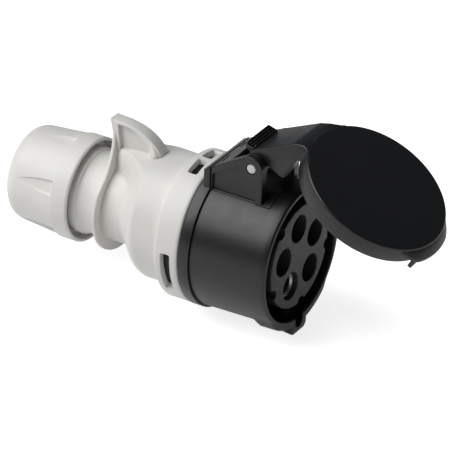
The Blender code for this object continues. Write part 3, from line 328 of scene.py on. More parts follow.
def noise(tree, vector, scale, detail=3.0):
    node = tree.nodes.new('ShaderNodeTexNoise')
    node.inputs["Scale"].default_value = scale
    node.inputs["Detail"].default_value = detail
    node.inputs["Roughness"].default_value = NOISE_ROUGHNESS
    tree.links.new(vector, node.inputs["Vector"])
    return node.outputs["Fac"]


def spread(tree, source, low, high):
    """Turn noise into a number between two values."""
    node = tree.nodes.new('ShaderNodeMapRange')
    node.inputs["From Min"].default_value = NOISE_LOW
    node.inputs["From Max"].default_value = NOISE_HIGH
    node.inputs["To Min"].default_value = low
    node.inputs["To Max"].default_value = high
    tree.links.new(source, node.inputs["Value"])
    return node.outputs["Result"]


def tint(tree, source, first, second, target):
    """Mix two colours by a noise into a shader's colour."""
    node = tree.nodes.new('ShaderNodeMix')
    node.data_type = 'RGBA'
    node.inputs["A"].default_value = (*first, 1)
    node.inputs["B"].default_value = (*second, 1)
    tree.links.new(source, node.inputs["Factor"])
    tree.links.new(node.outputs["Result"], target)


def bump(tree, shader, source, distance):
    node = tree.nodes.new('ShaderNodeBump')
    node.inputs["Strength"].default_value = 1.0
    node.inputs["Distance"].default_value = distance
    tree.links.new(source, node.inputs["Height"])
    tree.links.new(node.outputs["Normal"], shader.inputs["Normal"])


def plastic(name, dark, light, rough, grain=FINE_GRAIN):
    """Moulded plastic: slight clouding, fine spark-eroded grain and uneven sheen."""
    material, tree, shader, place = new_material(name)
    clouds = noise(tree, place, 45.0, 4.0)
    flow = noise(tree, place, 190.0, 2.0)
    fine = noise(tree, place, 3400.0, 2.0)
    tint(tree, spread(tree, clouds, 0.0, 1.0), dark, light, shader.inputs["Base Color"])
    sheen = spread(tree, flow, rough - 0.03, rough + 0.04)
    tree.links.new(sheen, shader.inputs["Roughness"])
    bump(tree, shader, fine, grain)
    return material


def metal(name, first, second, rough):
    """Turned or drawn metal with fine streaks round its axis."""
    material, tree, shader, place = new_material(name)
    stretch = tree.nodes.new('ShaderNodeMapping')
    stretch.inputs["Scale"].default_value = (1.0, 0.12, 0.12)
    tree.links.new(place, stretch.inputs["Vector"])
    streaks = noise(tree, stretch.outputs["Vector"], 900.0)
    tint(tree, spread(tree, streaks, 0.0, 1.0), first, second, shader.inputs["Base Color"])
    sheen = spread(tree, streaks, rough, rough + 0.12)
    tree.links.new(sheen, shader.inputs["Roughness"])
    bump(tree, shader, streaks, METAL_GRAIN)
    shader.inputs["Metallic"].default_value = 1.0
    return material


def rubber(name, dark, light):
    material, tree, shader, place = new_material(name)
    clouds = noise(tree, place, 260.0, 4.0)
    fine = noise(tree, place, 2600.0, 2.0)
    tint(tree, spread(tree, clouds, 0.0, 1.0), dark, light, shader.inputs["Base Color"])
    tree.links.new(spread(tree, clouds, 0.62, 0.8), shader.inputs["Roughness"])
    bump(tree, shader, fine, RUBBER_GRAIN)
    return material


BLACK = plastic("black_plastic", (0.0068, 0.0067, 0.0064), (0.0092, 0.009, 0.0085), 0.36)
LID_BLACK = plastic("lid_black_plastic", (0.0058, 0.0061, 0.0068), (0.0076, 0.0079, 0.0088),
                    0.34)
GREY = plastic("grey_plastic", (0.715, 0.702, 0.668), (0.775, 0.762, 0.728), 0.42)
INSULATOR = plastic("insulator_plastic", (0.027, 0.0267, 0.0262), (0.035, 0.0346, 0.034), 0.46)
NYLON = plastic("nylon", (0.66, 0.65, 0.6), (0.75, 0.74, 0.7), 0.5, NYLON_GRAIN)
PIN = plastic("pin_end", (0.62, 0.62, 0.63), (0.7, 0.7, 0.7), 0.35)
RUBBER = rubber("seal_rubber", (0.012, 0.012, 0.012), (0.022, 0.022, 0.023))
NICKEL = metal("plated_contact", (0.3, 0.31, 0.34), (0.4, 0.41, 0.44), 0.3)
STEEL = metal("screw_steel", (0.5, 0.51, 0.54), (0.62, 0.63, 0.66), 0.25)


# Front shell

SHELL_R = 35.4
RIM_R = 34.8
BORE_R = 32.5
SHELL_END = -40.2
SHELL_TAIL_R = 30.3
BAND_X = -8.5               # rear edge of the band round the rim
BAND_STEP = 0.2
BAND_FADE = 0.15
SWELL = 1.8                 # of the band on both sides of the key
SWELL_HALF = 36.0           # degrees from the bottom to where it starts to fade
SWELL_FADE = 12.0
SWELL_LENGTH = 4.5          # of its fading behind the band
EAR_R = 6.1
EAR_HALF = 17.5
PIN_HOLE_R = 2.7
KEYWAY_R = 3.4


def shell_radius(x, angle):
    """Tapered shell with its rim band, which swells round the key at the bottom."""
    radius = lerp(RIM_R, SHELL_R, x / SHELL_END)
    radius += BAND_STEP * (1 - smooth((BAND_X - x) / BAND_FADE))
    side = (angle_between(angle, BOTTOM) - SWELL_HALF) / SWELL_FADE
    back = (BAND_X - x) / SWELL_LENGTH
    return radius + SWELL * (1 - smooth(side)) * (1 - smooth(back))


def slope_z(x):
    """Height of the hinge block's sloping back, which meets the ears' round top."""
    return PIN_Z + EAR_R / math.cos(TILT) + (x - PIN_X) * math.tan(TILT)


def side_panels():
    """Cutters for the recess in each side of the hinge block, flared at its edge."""
    margin = 3.3 / math.cos(TILT)
    panel = [(-39.5, 0), (-39.5, slope_z(-39.5) - margin), (-25.5, slope_z(-25.5) - margin)]
    panel += arc((PIN_X, PIN_Z), 5.5, 180, 298, 14)
    panel += [(-16.4, 43.0), (-16.4, 0)]
    panel = soften(panel, [0, 0.8, 0.8] + [0] * 14 + [0, 1.0, 0])
    middle_x = sum(x for x, z in panel) / len(panel)
    middle_z = sum(z for x, z in panel) / len(panel)
    sides = []
    for side in (-1, 1):
        rings = []
        for y, grow in ((16.1, 1.0), (17.2, 1.0), (17.6, 1.035), (19.0, 1.035)):
            rings.append([(lerp(middle_x, x, grow), side * y, lerp(middle_z, z, grow))
                          for x, z in panel])
        sides.append(skin("panel", rings))
    return sides


def hinge_block():
    outline = [(SHELL_END, 28), (-12.9, 28)]
    outline += arc((PIN_X, PIN_Z), EAR_R, 0, 120.5, 20)
    outline.append((SHELL_END, slope_z(SHELL_END)))
    body = prism("hinge_block", outline, -EAR_HALF, EAR_HALF, bevel=0.45)
    pocket = block("pocket", (-31.3, -13.0, 0), (5, 13.0, 80))
    hole = rods("hole", [((PIN_X, -19, PIN_Z), (PIN_X, 19, PIN_Z), PIN_HOLE_R, PIN_HOLE_R)])
    slots = []
    for side in (-1, 1):
        low, high = sorted((side * 12.2, side * 5.0))
        slots.append(block("slot", (-38.3, low, slope_z(-37.7) - 1.6), (-37.1, high, 60)))
    return cut(body, pocket, hole, *side_panels(), *slots)


def shell_trim():
    """Low pad between the ears that runs into the rim band, and a bead under each side panel."""
    pad = prism("pad", sector(33.0, 35.65, TOP, 58.6, 40), -13.4, -8.4, axis='x')
    beads = [((-39.6, side * 16.55, 31.25), (-16.3, side * 16.55, 31.1), 0.5, 0.5)
             for side in (-1, 1)]
    return pad, rods("beads", beads, 16)


def key_bulge():
    """Round-cornered bulge over the keyway, running out into the shell behind the band."""
    corner = 3.0
    stations = [(0, -40.7, 0.6), (-0.25, -40.7, 0.15), (-0.8, -40.65, 0), (-9.1, -39.7, 0)]
    stations += [(-9.1 - 5.5 * i / 8, lerp(-39.7, -33.4, smooth(i / 8)), 0)
                 for i in range(1, 9)]
    rings = []
    for x, bottom, inset in stations:
        low = bottom + inset + corner
        width = 7.2 - inset
        ring = [(x, -width, -BORE_R)]
        ring += [(x, y, z) for y, z in arc((corner - width, low), corner, 180, 270, 8)]
        ring += [(x, y, z) for y, z in arc((width - corner, low), corner, 270, 360, 8)]
        ring.append((x, width, -BORE_R))
        rings.append(ring)
    return skin("key_bulge", rings)


def front_shell():
    stations = [(0, 0.9), (-0.06, 0.62), (-0.25, 0.36), (-0.55, 0.14), (-0.95, 0.0)]
    stations += [(x, 0) for x in (-4, BAND_X, -8.56, -8.65, -9.3, -10, -10.8, -11.6, -12.4, -13)]
    rings = [[(x, *polar(shell_radius(x, angle) - inset, angle)) for angle in ANGLES]
             for x, inset in stations]
    rings += [circle(-40.1, SHELL_R), circle(SHELL_END, SHELL_R - 0.1)]
    rings += [circle(SHELL_END, SHELL_TAIL_R), circle(-50, SHELL_TAIL_R)]
    shell = skin("front_shell_skin", rings)
    profile = [(1, 0), (1, 34.0), (-0.1, 32.95), (-0.5, 32.62), (-1.0, BORE_R), (-36, BORE_R),
               (-36, 26.4), (-38.6, 26.4), (-38.6, 28.1), (-52, 28.1), (-52, 0)]
    bore = spin("bore", profile, BIG)
    floor = [(-KEYWAY_R, -29.5), (KEYWAY_R, -29.5)]
    mouth = floor + arc((0, -34.9), KEYWAY_R, 0, -180, 16)
    keyway = prism("keyway", mouth, -11.5, 1, axis='x')
    tail = floor + [(KEYWAY_R, -33.7), (-KEYWAY_R, -33.7)]
    keyway_tail = prism("keyway_tail", tail, -34, -11, axis='x')
    join(shell, key_bulge(), hinge_block(), *shell_trim())
    cut(shell, bore, keyway, keyway_tail)
    finish(shell, "connector", BLACK, "front_shell")


def coupling_ring():
    """Ring behind the shell with the plate that closes the hinge block."""
    profile = [(-40.35, 0), (-40.35, 36.6), (-46.1, 36.6), (-46.1, 33.0), (-57.4, 33.0),
               (-57.4, 0)]
    profile = soften(profile, [0, 0.18, 0.5, 0.2, 0.3, 0], closed=False)
    ring = spin("coupling_ring_skin", profile, BIG)
    top = slope_z(-40.5) + 0.3
    outline = [(-43.9, 31.5), (-40.55, 31.5), (-40.55, top), (-43.9, top - 2.0)]
    plate = prism("plate", soften(outline, [0, 0, 0.3, 0.5]), -17.8, 17.8, bevel=0.25)
    inner = [(-39, 0), (-39, 32.3), (-42.1, 32.3), (-42.1, 30.6), (-59, 30.6), (-59, 0)]
    cut(ring, spin("ring_bore", inner, BIG))
    join(ring, plate)
    finish(ring, "connector", BLACK, "coupling_ring")


# Contacts

CONTACTS = 5
EARTH = 3
PIN_CIRCLE = 15.1
CONTACT_STEP = 360.0 / CONTACTS
BARREL_X = -66.65           # middle of the wire barrel
SCREW_HOLE_R = 2.1


def contact_angle(index):
    return 96.0 - CONTACT_STEP * index


def contact_carrier():
    profile = [(-1, 0), (-1, 26.1), (-38.9, 26.1), (-38.9, 27.8), (-43.9, 27.8), (-43.9, 25.5),
               (-60, 25.5), (-60, 0)]
    profile = soften(profile, [0, 0.6, 0, 0.3, 0.3, 0, 0.4, 0], closed=False)
    carrier = spin("contact_carrier_skin", profile, BIG)
    entries = []
    chamfers = []
    seats = []
    notches = []
    for index in range(CONTACTS):
        y, z = polar(PIN_CIRCLE, contact_angle(index))
        floor, seat = (-3.6, 6.3) if index == EARTH else (-9.5, 5.3)
        entries.append(((0.5, y, z), (floor, y, z), 6.85, 6.85))
        chamfers.append(((-0.3, y, z), (-1.45, y, z), 7.85, 6.7))
        seats.append(((floor + 1, y, z), (-61, y, z), seat, seat))
        y, z = polar(26.3, contact_angle(index) - CONTACT_STEP / 2)
        notches.append(((1, y, z), (-34, y, z), 3.0, 3.0))
    cut(carrier, rods("entries", entries, 64), rods("chamfers", chamfers, 64),
        rods("seats", seats, 48), rods("notches", notches, 48))
    finish(carrier, "connector", INSULATOR, "contact_carrier")


def contact(index):
    """Turned sleeve with a collar, and a barrel behind it with a hole for its screw."""
    bore, front = (4.05, -3.1) if index == EARTH else (3.05, -9.1)
    outer = bore + 1.95
    collar = outer + 1.3
    wire = 2.6
    profile = [(front - 30, 0), (front - 30, bore), (front - 0.9, bore), (front, bore + 0.8),
               (front, outer - 0.4), (front - 0.4, outer), (-60.3, outer), (-60.3, collar),
               (-61.9, collar), (-61.9, outer), (-71.4, outer), (-71.4, wire), (-62.4, wire),
               (-62.4, 0)]
    name = "contact_sleeve_%d" % (index + 1)
    middle = polar(PIN_CIRCLE, contact_angle(index))
    sleeve = spin(name + "_skin", profile, SMALL, centre=middle)
    outside = polar(PIN_CIRCLE + outer + 1, contact_angle(index))
    hole = ((BARREL_X, *middle), (BARREL_X, *outside), SCREW_HOLE_R, SCREW_HOLE_R)
    cut(sleeve, rods("hole", [hole], 32))
    finish(sleeve, "connector", NICKEL, name)


# Rear housing

COLLAR_R = 36.4
BODY_X = -58.9              # the collar's rear face, where the round body starts
BODY_R = 31.7
NECK_R = 20.0
SADDLE_X = -75.5
SCOOP_LENGTH = 13.0
GUARD_R = 25.3
GUARD_THICK = 1.8
GUARD_TOP = 43.2
SHOULDER_Z = 12.0           # above it the guard narrows into the hook
HOOK_HALF = 3.5
TOE_BASE_X = -79.2
WINDOW_X = -53.0
WINDOW_HALF = 2.4
WINDOWS = ((102.5, 17), (81.5, 17), (196, 36), (16, 36))


def body_radius(x):
    """Round body, with the hollow where it leaves the collar."""
    run = BODY_X - x
    return lerp(31.1, BODY_R, run / 16.6) + 1.4 * (1 - min(run / 5.0, 1)) ** 3


def crest_x(angle):
    """Rear edge of the round body, which runs back along a saddle at the top."""
    off = angle_between(angle, TOP)
    edge = -75.4 + 1.2 * smooth((off - 80.0) / 60.0)
    return max(edge - 33.0 * (1 - min(off / 55.0, 1)) ** 2.9, -97.9)


def saddle_radius(x):
    if x < SADDLE_X:
        return BODY_R - 3.0 * ((SADDLE_X - x) / 22.9) ** 2
    return body_radius(x)


def scoop_path(angle):
    """Stations of the housing from its body over the rounded edge down to the neck."""
    start = crest_x(angle)
    top = saddle_radius(start)
    off = angle_between(angle, TOP)
    reach = lerp(0.5, 3.2, smooth((off - 50.0) / 70.0))
    behind = guard_x(top * math.sin(math.radians(angle))) - 0.9

    def flank(x):
        fall = (start - x) / SCOOP_LENGTH
        return lerp(top, NECK_R, lerp(min(fall, 1.0), smooth(fall), 0.35))

    low_x = start - reach * 0.75
    high_x = start + reach
    points = bezier((high_x, saddle_radius(high_x)), (start, top), (low_x, flank(low_x)), 10)
    last = min(max(start - SCOOP_LENGTH, behind), low_x - 0.5)
    for i in range(1, 25):
        x = lerp(low_x, last, i / 24)
        points.append((x, flank(x)))
    return points


def guard_x(z):
    """Front face of the finger guard, which leans back towards its top."""
    t = max(z - 18.0, 0) / 25.2
    return -98.4 - 4.1 * t ** 1.4


def guard_half_width(z):
    if z < SHOULDER_Z:
        return math.sqrt(max(GUARD_R ** 2 - z ** 2, 0.25))
    shoulder = math.sqrt(GUARD_R ** 2 - SHOULDER_Z ** 2)
    t = min((z - SHOULDER_Z) / 26.0, 1)
    return lerp(HOOK_HALF, shoulder, (1 - t) ** 1.6)


def finger_guard():
    rows = [-GUARD_R * math.cos(math.radians(a)) for a in range(0, 90, 4)]
    rows += [0, 2, 4, 6, 8, 10, 12] + [12 + 26.0 * i / 20 for i in range(1, 21)]
    rows += [40.5, GUARD_TOP]
    rings = []
    for z in rows:
        half = guard_half_width(z)
        front = guard_x(z)
        rear = front - GUARD_THICK
        c = min(0.5, half * 0.4)
        edge = [(rear + c, -half), (front - c, -half), (front - 0.15, -half + 0.17),
                (front, -half + c), (front, half - c), (front - 0.15, half - 0.17),
                (front - c, half), (rear + c, half), (rear + 0.15, half - 0.17),
                (rear, half - c), (rear, -half + c), (rear + 0.15, -half + 0.17)]
        rings.append([(x, y, z) for x, y in edge])
    return skin("finger_guard", rings)


def hook_toe():
    """The hook's foot on the saddle: rounded rings that widen downwards."""
    stations = [(37.4, -82.1, 0.9, 3.2), (36.4, -81.3, 1.15, 3.45), (35.2, -80.75, 1.6, 3.75),
                (34.0, -80.2, 2.05, 4.25), (32.9, -79.75, 2.5, 4.85), (31.9, -79.4, 2.9, 5.45),
                (31.2, -79.25, 3.15, 5.8), (30.5, TOE_BASE_X, 3.3, 5.95),
                (29.6, TOE_BASE_X, 3.3, 5.95)]

    def squared(value):
        return math.copysign(abs(value) ** 0.75, value)

    rings = []
    for z, x, rx, ry in stations:
        turns = [2 * math.pi * k / 48 for k in range(48)]
        rings.append([(x + rx * squared(math.cos(a)), ry * squared(math.sin(a)), z)
                      for a in turns])
    return skin("toe", rings)


def hook():
    """Hanging hook over the saddle, thinned from both sides to a web."""
    tip = (guard_x(GUARD_TOP) - 0.9, GUARD_TOP)
    outline = bezier(tip, (-83.0, 43.6), (-76.0, 31.7), 28)
    outline += [(-76.0, 27.0), (-99.3, 27.0), (guard_x(35) - 0.9, 35)]
    body = prism("hook", outline, -HOOK_HALF, HOOK_HALF, bevel=0.6)
    recess = bezier((-82.3, 29.7), (-87.0, 43.0), (guard_x(GUARD_TOP) + 2.6, 41.4), 24)
    recess += [(guard_x(33.2) + 1.5, 33.2), (-97.4, 20), (-82.3, 20)]
    cut(body, prism("recess_r", recess, 1.4, 5), prism("recess_l", recess, -5, -1.4))
    return join(body, hook_toe())


def window(name, centre, width):
    """Cutter for one window of the collar, with round corners and a flared edge."""
    half = math.radians(width / 2) * COLLAR_R
    rear, front = WINDOW_X - WINDOW_HALF, WINDOW_X + WINDOW_HALF
    corners = [(rear, -half), (front, -half), (front, half), (rear, half)]
    outline = []
    rounded = soften(corners, 1.1, count=6)
    for i, (x, across) in enumerate(rounded):
        after = rounded[(i + 1) % len(rounded)]
        pieces = 8 if abs(after[1] - across) > 3 else 1
        outline += [(lerp(x, after[0], k / pieces), lerp(across, after[1], k / pieces))
                    for k in range(pieces)]
    rings = []
    for radius, grow in ((31.0, 0), (36.0, 0), (36.6, 0.35), (38.5, 0.8)):
        ring = []
        for x, across in outline:
            angle = centre + math.degrees(across * (1 + grow / half) / COLLAR_R)
            x = WINDOW_X + (x - WINDOW_X) * (1 + grow / WINDOW_HALF)
            ring.append((x, *polar(radius, angle)))
        rings.append(ring)
    return skin(name, rings)


def rear_housing():
    front = [(-46.4, 35.5), (-46.5, 35.8), (-46.8, 36.15), (-47.3, 36.36), (-48.2, 36.45),
             (-50.0, COLLAR_R), (-57.9, COLLAR_R), (-58.3, 36.33), (-58.65, 36.1),
             (-58.85, 35.8), (BODY_X, 35.4)]
    front += [(x, body_radius(x))
              for x in (BODY_X, -59.3, -59.9, -60.6, -61.4, -62.6, -63.9, -67.0)]
    tail = [(-99.8, NECK_R), (-110.6, NECK_R), (-111.8, 20.25), (-112.2, 20.7), (-112.3, 21.1),
            (-112.6, 21.3), (-115.8, 21.3), (-115.8, 20.6), (-133.5, 20.6), (-134.0, 20.1)]
    paths = [scoop_path(angle) for angle in ANGLES]
    rings = [circle(x, radius) for x, radius in front]
    for row in zip(*paths):
        rings.append([(x, *polar(radius, angle)) for (x, radius), angle in zip(row, ANGLES)])
    rings += [circle(x, radius) for x, radius in tail]
    housing = skin("rear_housing_skin", rings)
    inner = [(-45, 0), (-45, 33.3), (-57.7, 33.3), (-57.7, 28.2), (-74, 28.7), (-85, 16.8),
             (-98.4, 15.5), (-136, 15.5), (-136, 0)]
    cavity = spin("cavity", inner, BIG)
    join(housing, finger_guard(), hook())
    cut(housing, cavity)
    cut(housing, *[window("window_%d" % k, centre, width)
                   for k, (centre, width) in enumerate(WINDOWS)])
    finish(housing, "connector", GREY, "rear_housing")


# Gland

FLUTES = 6


def flute(index):
    """Cutter for one flute: flat floor, squared at the rim and running out to a point."""
    turn = 40.0 + 360.0 / FLUTES * index
    cos, sin = polar(1.0, turn)
    rings = []
    for i in range(17):
        t = i / 16
        x = lerp(-123.55, -143.4, t)
        barrel = lerp(25.4, 23.65, t)
        outside = barrel + 3
        floor = barrel - 1.55 * (1 - t ** 1.5)
        half = max(2.75 * (1 - t ** 1.9), 0.12)
        flare = half + 0.9 * (outside - floor)
        section = ((-half, floor), (half, floor), (flare, outside), (-flare, outside))
        rings.append([(x, radius * cos - across * sin, radius * sin + across * cos)
                      for across, radius in section])
    return skin("flute_%d" % index, rings)


def gland_nut():
    outer = [(-114.2, 24.6), (-114.2, 25.4), (-115.0, 26.0), (-123.3, 26.0), (-123.55, 25.4),
             (-145.9, 23.5), (-149.2, 22.2), (-151.5, 19.3), (-152.4, 15.6), (-152.4, 11.2),
             (-149, 12.0), (-139.5, 18.7), (-139.5, 20.9), (-119.5, 20.9), (-119.5, 23.6),
             (-114.7, 24.3)]
    sizes = [0.2, 0.6, 0.6, 0.25, 0.3, 2.5, 2.2, 2.2, 1.5, 0.4, 0.2, 0.2, 0, 0, 0, 0.3]
    nut = spin("gland_nut_skin", soften(outer, sizes, count=5), BIG)
    cut(nut, *[flute(index) for index in range(FLUTES)])
    finish(nut, "nut", GREY, "gland_nut")


def gland_seal():
    profile = [(-120.7, 8.0), (-120.7, 15.2), (-133.7, 15.2), (-133.7, 11.8), (-141.3, 11.8),
               (-141.3, 8.0)]
    seal = spin("gland_seal_skin", soften(profile, 0.4), MID)
    finish(seal, "connector", RUBBER, "gland_seal")


# Lid

LID_S = 49.3                # centre of the round lid
BORE_S = PIN_Z              # the bore's axis when the lid is shut
LIP_SPREAD = 42             # degrees to either side of the free edge
KNEE_S = 8.3                # where the arm's sloping face ends
KNEE_N = 24.8
ARM_SLOPE = 20.4 / 14.5
ARM_TOP_N = 29.72
KNUCKLE_IN = 6.2
KNUCKLE_OUT = 12.7
RIB_IN = 31.6               # radii of the rib that holds the gasket
RIB_OUT = 33.6
THUMB_S = -10.8
THUMB_PITCH = 1.35
THUMB_RISE = 0.28


def lid_lip():
    """Lip along the free edge, deepest in its middle."""
    root = 35.0
    rings = []
    for i in range(57):
        angle = lerp(-LIP_SPREAD, LIP_SPREAD, i / 56)
        full = smooth((LIP_SPREAD - abs(angle)) / 26.0)
        reach = 35.6 + 4.6 * full
        top = 29.2 - 4.0 * full
        section = [(root, 29.3), (lerp(root, reach, 0.5), lerp(29.3, top, 0.42)),
                   (reach - 0.5, top + 0.12), (reach - 0.1, top - 0.3), (reach, top - 0.8),
                   (reach, top - 1.8), (reach - 0.5, top - 2.2), (root, top - 2.4)]
        ring = []
        for radius, n in section:
            s, y = polar(radius, angle)
            ring.append((LID_S + s, y, n))
        rings.append(ring)
    return skin("lid_lip", rings, LID)


def arm_face(s):
    return KNEE_N + (s - KNEE_S) * ARM_SLOPE


def arm_top(s):
    if s < KNEE_S:
        return arm_face(s)
    return table([(KNEE_S, KNEE_N), (12.0, 28.2), (14.4, 29.2), (17.0, ARM_TOP_N)], s)


def arm_half(s):
    """The arm's sides curve out into the round edge of the lid."""
    if s < 9.0:
        return KNUCKLE_OUT
    return table(bezier((9.0, KNUCKLE_OUT), (14.57, KNUCKLE_OUT), (17.5, 17.9), 12), s)


def arm_body():
    underside = [(-6.2, 3.9), (-5.6, 1.5), (-4.6, -2.0), (-2.0, -2.6), (2.0, -3.0), (3.4, 0.6),
                 (5.0, 4.6), (7.0, 4.8), (8.2, 4.95), (8.5, 5.0), (10.0, 5.1), (11.4, 5.2),
                 (12.5, 5.6), (13.5, 6.4), (14.1, 7.2), (14.42, 8.2), (14.46, 20.5),
                 (15.5, 21.6), (16.5, 22.8), (17.4, 24.0), (18.6, 25.4), (20.2, 27.2)]
    rings = []
    for s, bottom in underside:
        half, top = arm_half(s), arm_top(s)
        ring = [(s, -half, bottom), (s, -half, top - 0.75), (s, -half + 0.12, top - 0.35),
                (s, -half + 0.4, top - 0.08), (s, -half + 0.85, top)]
        ring += [(s, -y, n) for s, y, n in reversed(ring)]
        rings.append(ring)
    return skin("arm", rings, LID)


def thumb_bar():
    """Bar behind the hinge with four ridges for the thumb."""
    outline = [(THUMB_S, 3.9)]
    for i in range(4):
        s = THUMB_S + THUMB_PITCH * i
        n = 4.2 + THUMB_RISE * THUMB_PITCH * i
        for along, height in ((0.2, 0.6), (0.42, 0.78), (0.62, 0.72), (0.85, 0.15),
                              (1.0, THUMB_RISE * THUMB_PITCH)):
            outline.append((s + along * THUMB_PITCH, n + height))
    outline += [(-3.0, 5.9), (-3.0, 0.0), (-9.6, 1.0)]
    return prism("thumb", outline, -9.8, 9.8, place=LID, bevel=0.5)


def lid_arm():
    """Hollow arm from the hinge's knuckles up to the lid, with room for the spring."""
    wall = 2.1 / math.cos(math.atan(ARM_SLOPE))
    hollow_half = 10.6
    reach = PIN_Z - math.sqrt(SHELL_R ** 2 - hollow_half ** 2) - 0.3 + 9.8
    knuckles = [((0, side * KNUCKLE_IN, 0), (0, side * KNUCKLE_OUT, 0), 5.6, 5.6)
                for side in (-1, 1)]
    arm = arm_body()
    join(arm, rods("knuckles", knuckles, 48, LID), thumb_bar())
    cavity = [(6.2, -8), (6.2, arm_face(6.2) - wall), (9.9, arm_face(9.9) - wall + 0.2),
              (13.5, 26.8), (reach, 27.4), (reach, -8)]
    channel = [(-3.3, 3.0), (-3.3, arm_face(-3.3) - wall), (6.4, arm_face(6.4) - wall),
               (6.4, -8), (3, -8)]
    pocket = ((0, -KNUCKLE_IN, 0), (0, KNUCKLE_IN, 0), 5.3, 5.3)
    bore = ((0, -14, 0), (0, 14, 0), PIN_HOLE_R, PIN_HOLE_R)
    return cut(arm, prism("hollow", cavity, -hollow_half, hollow_half, place=LID),
               prism("channel", channel, -KNUCKLE_IN, KNUCKLE_IN, place=LID),
               rods("pocket", [pocket], SMALL, LID), rods("bore", [bore], SMALL, LID))


def lid():
    top = [(29.75, 0), (29.75, 35.1), (29.68, 35.6), (29.5, 35.95), (29.27, 36.25),
           (28.97, 36.43), (28.6, 36.5), (20.9, 36.5), (20.6, 36.4), (20.5, 36.1), (20.5, 0)]
    cap = spin("lid_skin", top, FINE, LID, centre=(LID_S, 0), upright=True)
    inside = [(27.5, 0), (27.5, 34.1), (27.1, 34.5), (19.0, 34.5), (19.0, 0)]
    join(cap, lid_lip())
    cut(cap, spin("inside", inside, FINE, LID, centre=(LID_S, 0), upright=True))
    rib = [(28.0, RIB_IN), (28.0, RIB_OUT), (22.1, RIB_OUT), (22.1, RIB_IN)]
    rib = spin("rib", rib, BIG, LID, centre=(BORE_S, 0), upright=True)
    nose = block("nose", (83.0, -2.7, 9.3), (85.0, 2.7, 28.0), LID, bevel=0.4)
    join(cap, rib, lid_arm(), nose)
    finish(cap, "cover", LID_BLACK, "lid")


def lid_gasket():
    profile = soften([(21.8, RIB_IN), (21.8, RIB_OUT), (19.3, RIB_OUT), (19.3, RIB_IN)], 0.7)
    gasket = spin("lid_gasket_skin", profile, BIG, LID, centre=(BORE_S, 0), upright=True)
    finish(gasket, "cover", RUBBER, "lid_gasket")


def hinge_pin():
    profile = soften([(17.3, 0), (17.3, 2.4), (-17.3, 2.4), (-17.3, 0)], 0.5, closed=False)
    pin = spin("hinge_pin_skin", profile, SMALL, PIN_PLACE)
    finish(pin, "connector", PIN, "hinge_pin")


def plain_nodes():
    """CAD nodes that keep their own shape get their material."""
    kept = {"clamp_collet": NYLON, "slip_ring": NYLON, "housing_seal": RUBBER,
            "lid_spring": STEEL}
    for index in range(CONTACTS):
        kept["terminal_screw_%d" % (index + 1)] = STEEL
    for name, material in kept.items():
        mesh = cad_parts[name].data
        mesh.materials.clear()
        mesh.materials.append(material)


# Stage, in metres

FLOOR_SIZE = 12.0
FLOOR_GAP = 0.0002          # between the floor and the lowest point of the part
FLOOR_GLOW = (("Is Camera Ray", 0.8), ("Is Glossy Ray", 0.3), ("Is Transmission Ray", 0.3))
WORLD_COLOUR = (0.9, 0.95, 1.0, 1)
WORLD_STRENGTH = 0.11
KEY_PLACE = Vector((-0.72, -0.56, 1.07))
KEY_SIZE = 1.25
KEY_POWER = 20

# The camera as fitted to the photograph
PICTURE = 452.0             # pixels
SENSOR = 36.0               # millimetres
FOCAL = 6004.0              # pixels
DISTANCE = 2.8316           # metres
AZIMUTH = math.radians(29.98)
ELEVATION = math.radians(29.45)
ROLL = math.radians(1.88)
TARGET_X = -56.64           # millimetres, in the source's frame
TARGET_PIXEL = (197.95, 222.96)


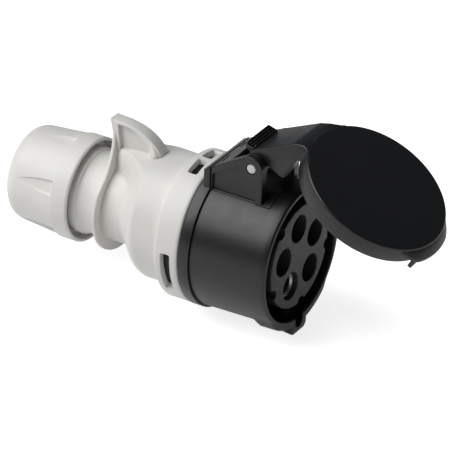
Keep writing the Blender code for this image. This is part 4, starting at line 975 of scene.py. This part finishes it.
def studio():
    """Pale floor under dim surroundings.

    The floor glows only where the camera, a reflection or a clear piece sees it, so that it
    reads as plain white there and still takes the part's shadow.
    """
    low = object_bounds()[0][2]
    bpy.ops.mesh.primitive_plane_add(size=FLOOR_SIZE, location=(0, 0, low - FLOOR_GAP))
    floor = bpy.context.active_object
    floor.name = "studio_floor"
    material, tree, shader, place = new_material("studio_floor")
    tint(tree, noise(tree, place, 30.0), (0.86, 0.86, 0.86), (0.88, 0.88, 0.88),
         shader.inputs["Base Color"])
    shader.inputs["Roughness"].default_value = 0.9
    shader.inputs["Specular IOR Level"].default_value = 0.0
    path = tree.nodes.new('ShaderNodeLightPath')
    strength = None
    for ray, value in FLOOR_GLOW:
        part = tree.nodes.new('ShaderNodeMath')
        part.operation = 'MULTIPLY_ADD'
        part.inputs[1].default_value = value
        part.inputs[2].default_value = 0.0
        tree.links.new(path.outputs[ray], part.inputs[0])
        if strength:
            tree.links.new(strength, part.inputs[2])
        strength = part.outputs["Value"]
    tree.links.new(strength, shader.inputs["Emission Strength"])
    shader.inputs["Emission Color"].default_value = (1, 1, 1, 1)
    floor.data.materials.append(material)
    floor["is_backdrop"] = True

    world = bpy.data.worlds.new("studio")
    bpy.context.scene.world = world
    world.use_nodes = True
    background = world.node_tree.nodes["Background"]
    background.inputs["Color"].default_value = WORLD_COLOUR
    background.inputs["Strength"].default_value = WORLD_STRENGTH


def key_light():
    light = bpy.data.lights.new("key", 'AREA')
    light.shape = 'RECTANGLE'
    light.size = light.size_y = KEY_SIZE
    light.energy = KEY_POWER
    obj = add_object("key", light)
    obj.location = KEY_PLACE
    obj.rotation_euler = (-KEY_PLACE).to_track_quat('-Z', 'Y').to_euler()


def camera():
    back = Vector((math.sin(AZIMUTH) * math.cos(ELEVATION),
                   -math.cos(AZIMUTH) * math.cos(ELEVATION), math.sin(ELEVATION)))
    right = Vector((math.cos(AZIMUTH), math.sin(AZIMUTH), 0))
    side = math.cos(ROLL) * right + math.sin(ROLL) * back.cross(right)
    top = back.cross(side)
    target = Vector(((TARGET_X + FACE_X) * MM, 0, 0))
    scale = FOCAL / DISTANCE
    across = (PICTURE / 2 - TARGET_PIXEL[0]) / scale
    down = (PICTURE / 2 - TARGET_PIXEL[1]) / scale
    location = target + back * DISTANCE + side * across - top * down
    data = bpy.data.cameras.new("camera")
    data.sensor_width = SENSOR
    data.lens = FOCAL * SENSOR / PICTURE
    data.clip_end = 50
    obj = add_object("camera", data)
    obj.matrix_world = Matrix((
        (side.x, top.x, back.x, location.x),
        (side.y, top.y, back.y, location.y),
        (side.z, top.z, back.z, location.z),
        (0, 0, 0, 1)))
    bpy.context.scene.camera = obj


camera()
front_shell()
coupling_ring()
contact_carrier()
for number in range(CONTACTS):
    contact(number)
rear_housing()
gland_nut()
gland_seal()
lid()
lid_gasket()
hinge_pin()
plain_nodes()
studio()
key_light()
bpy.context.scene.view_settings.view_transform = 'Standard'
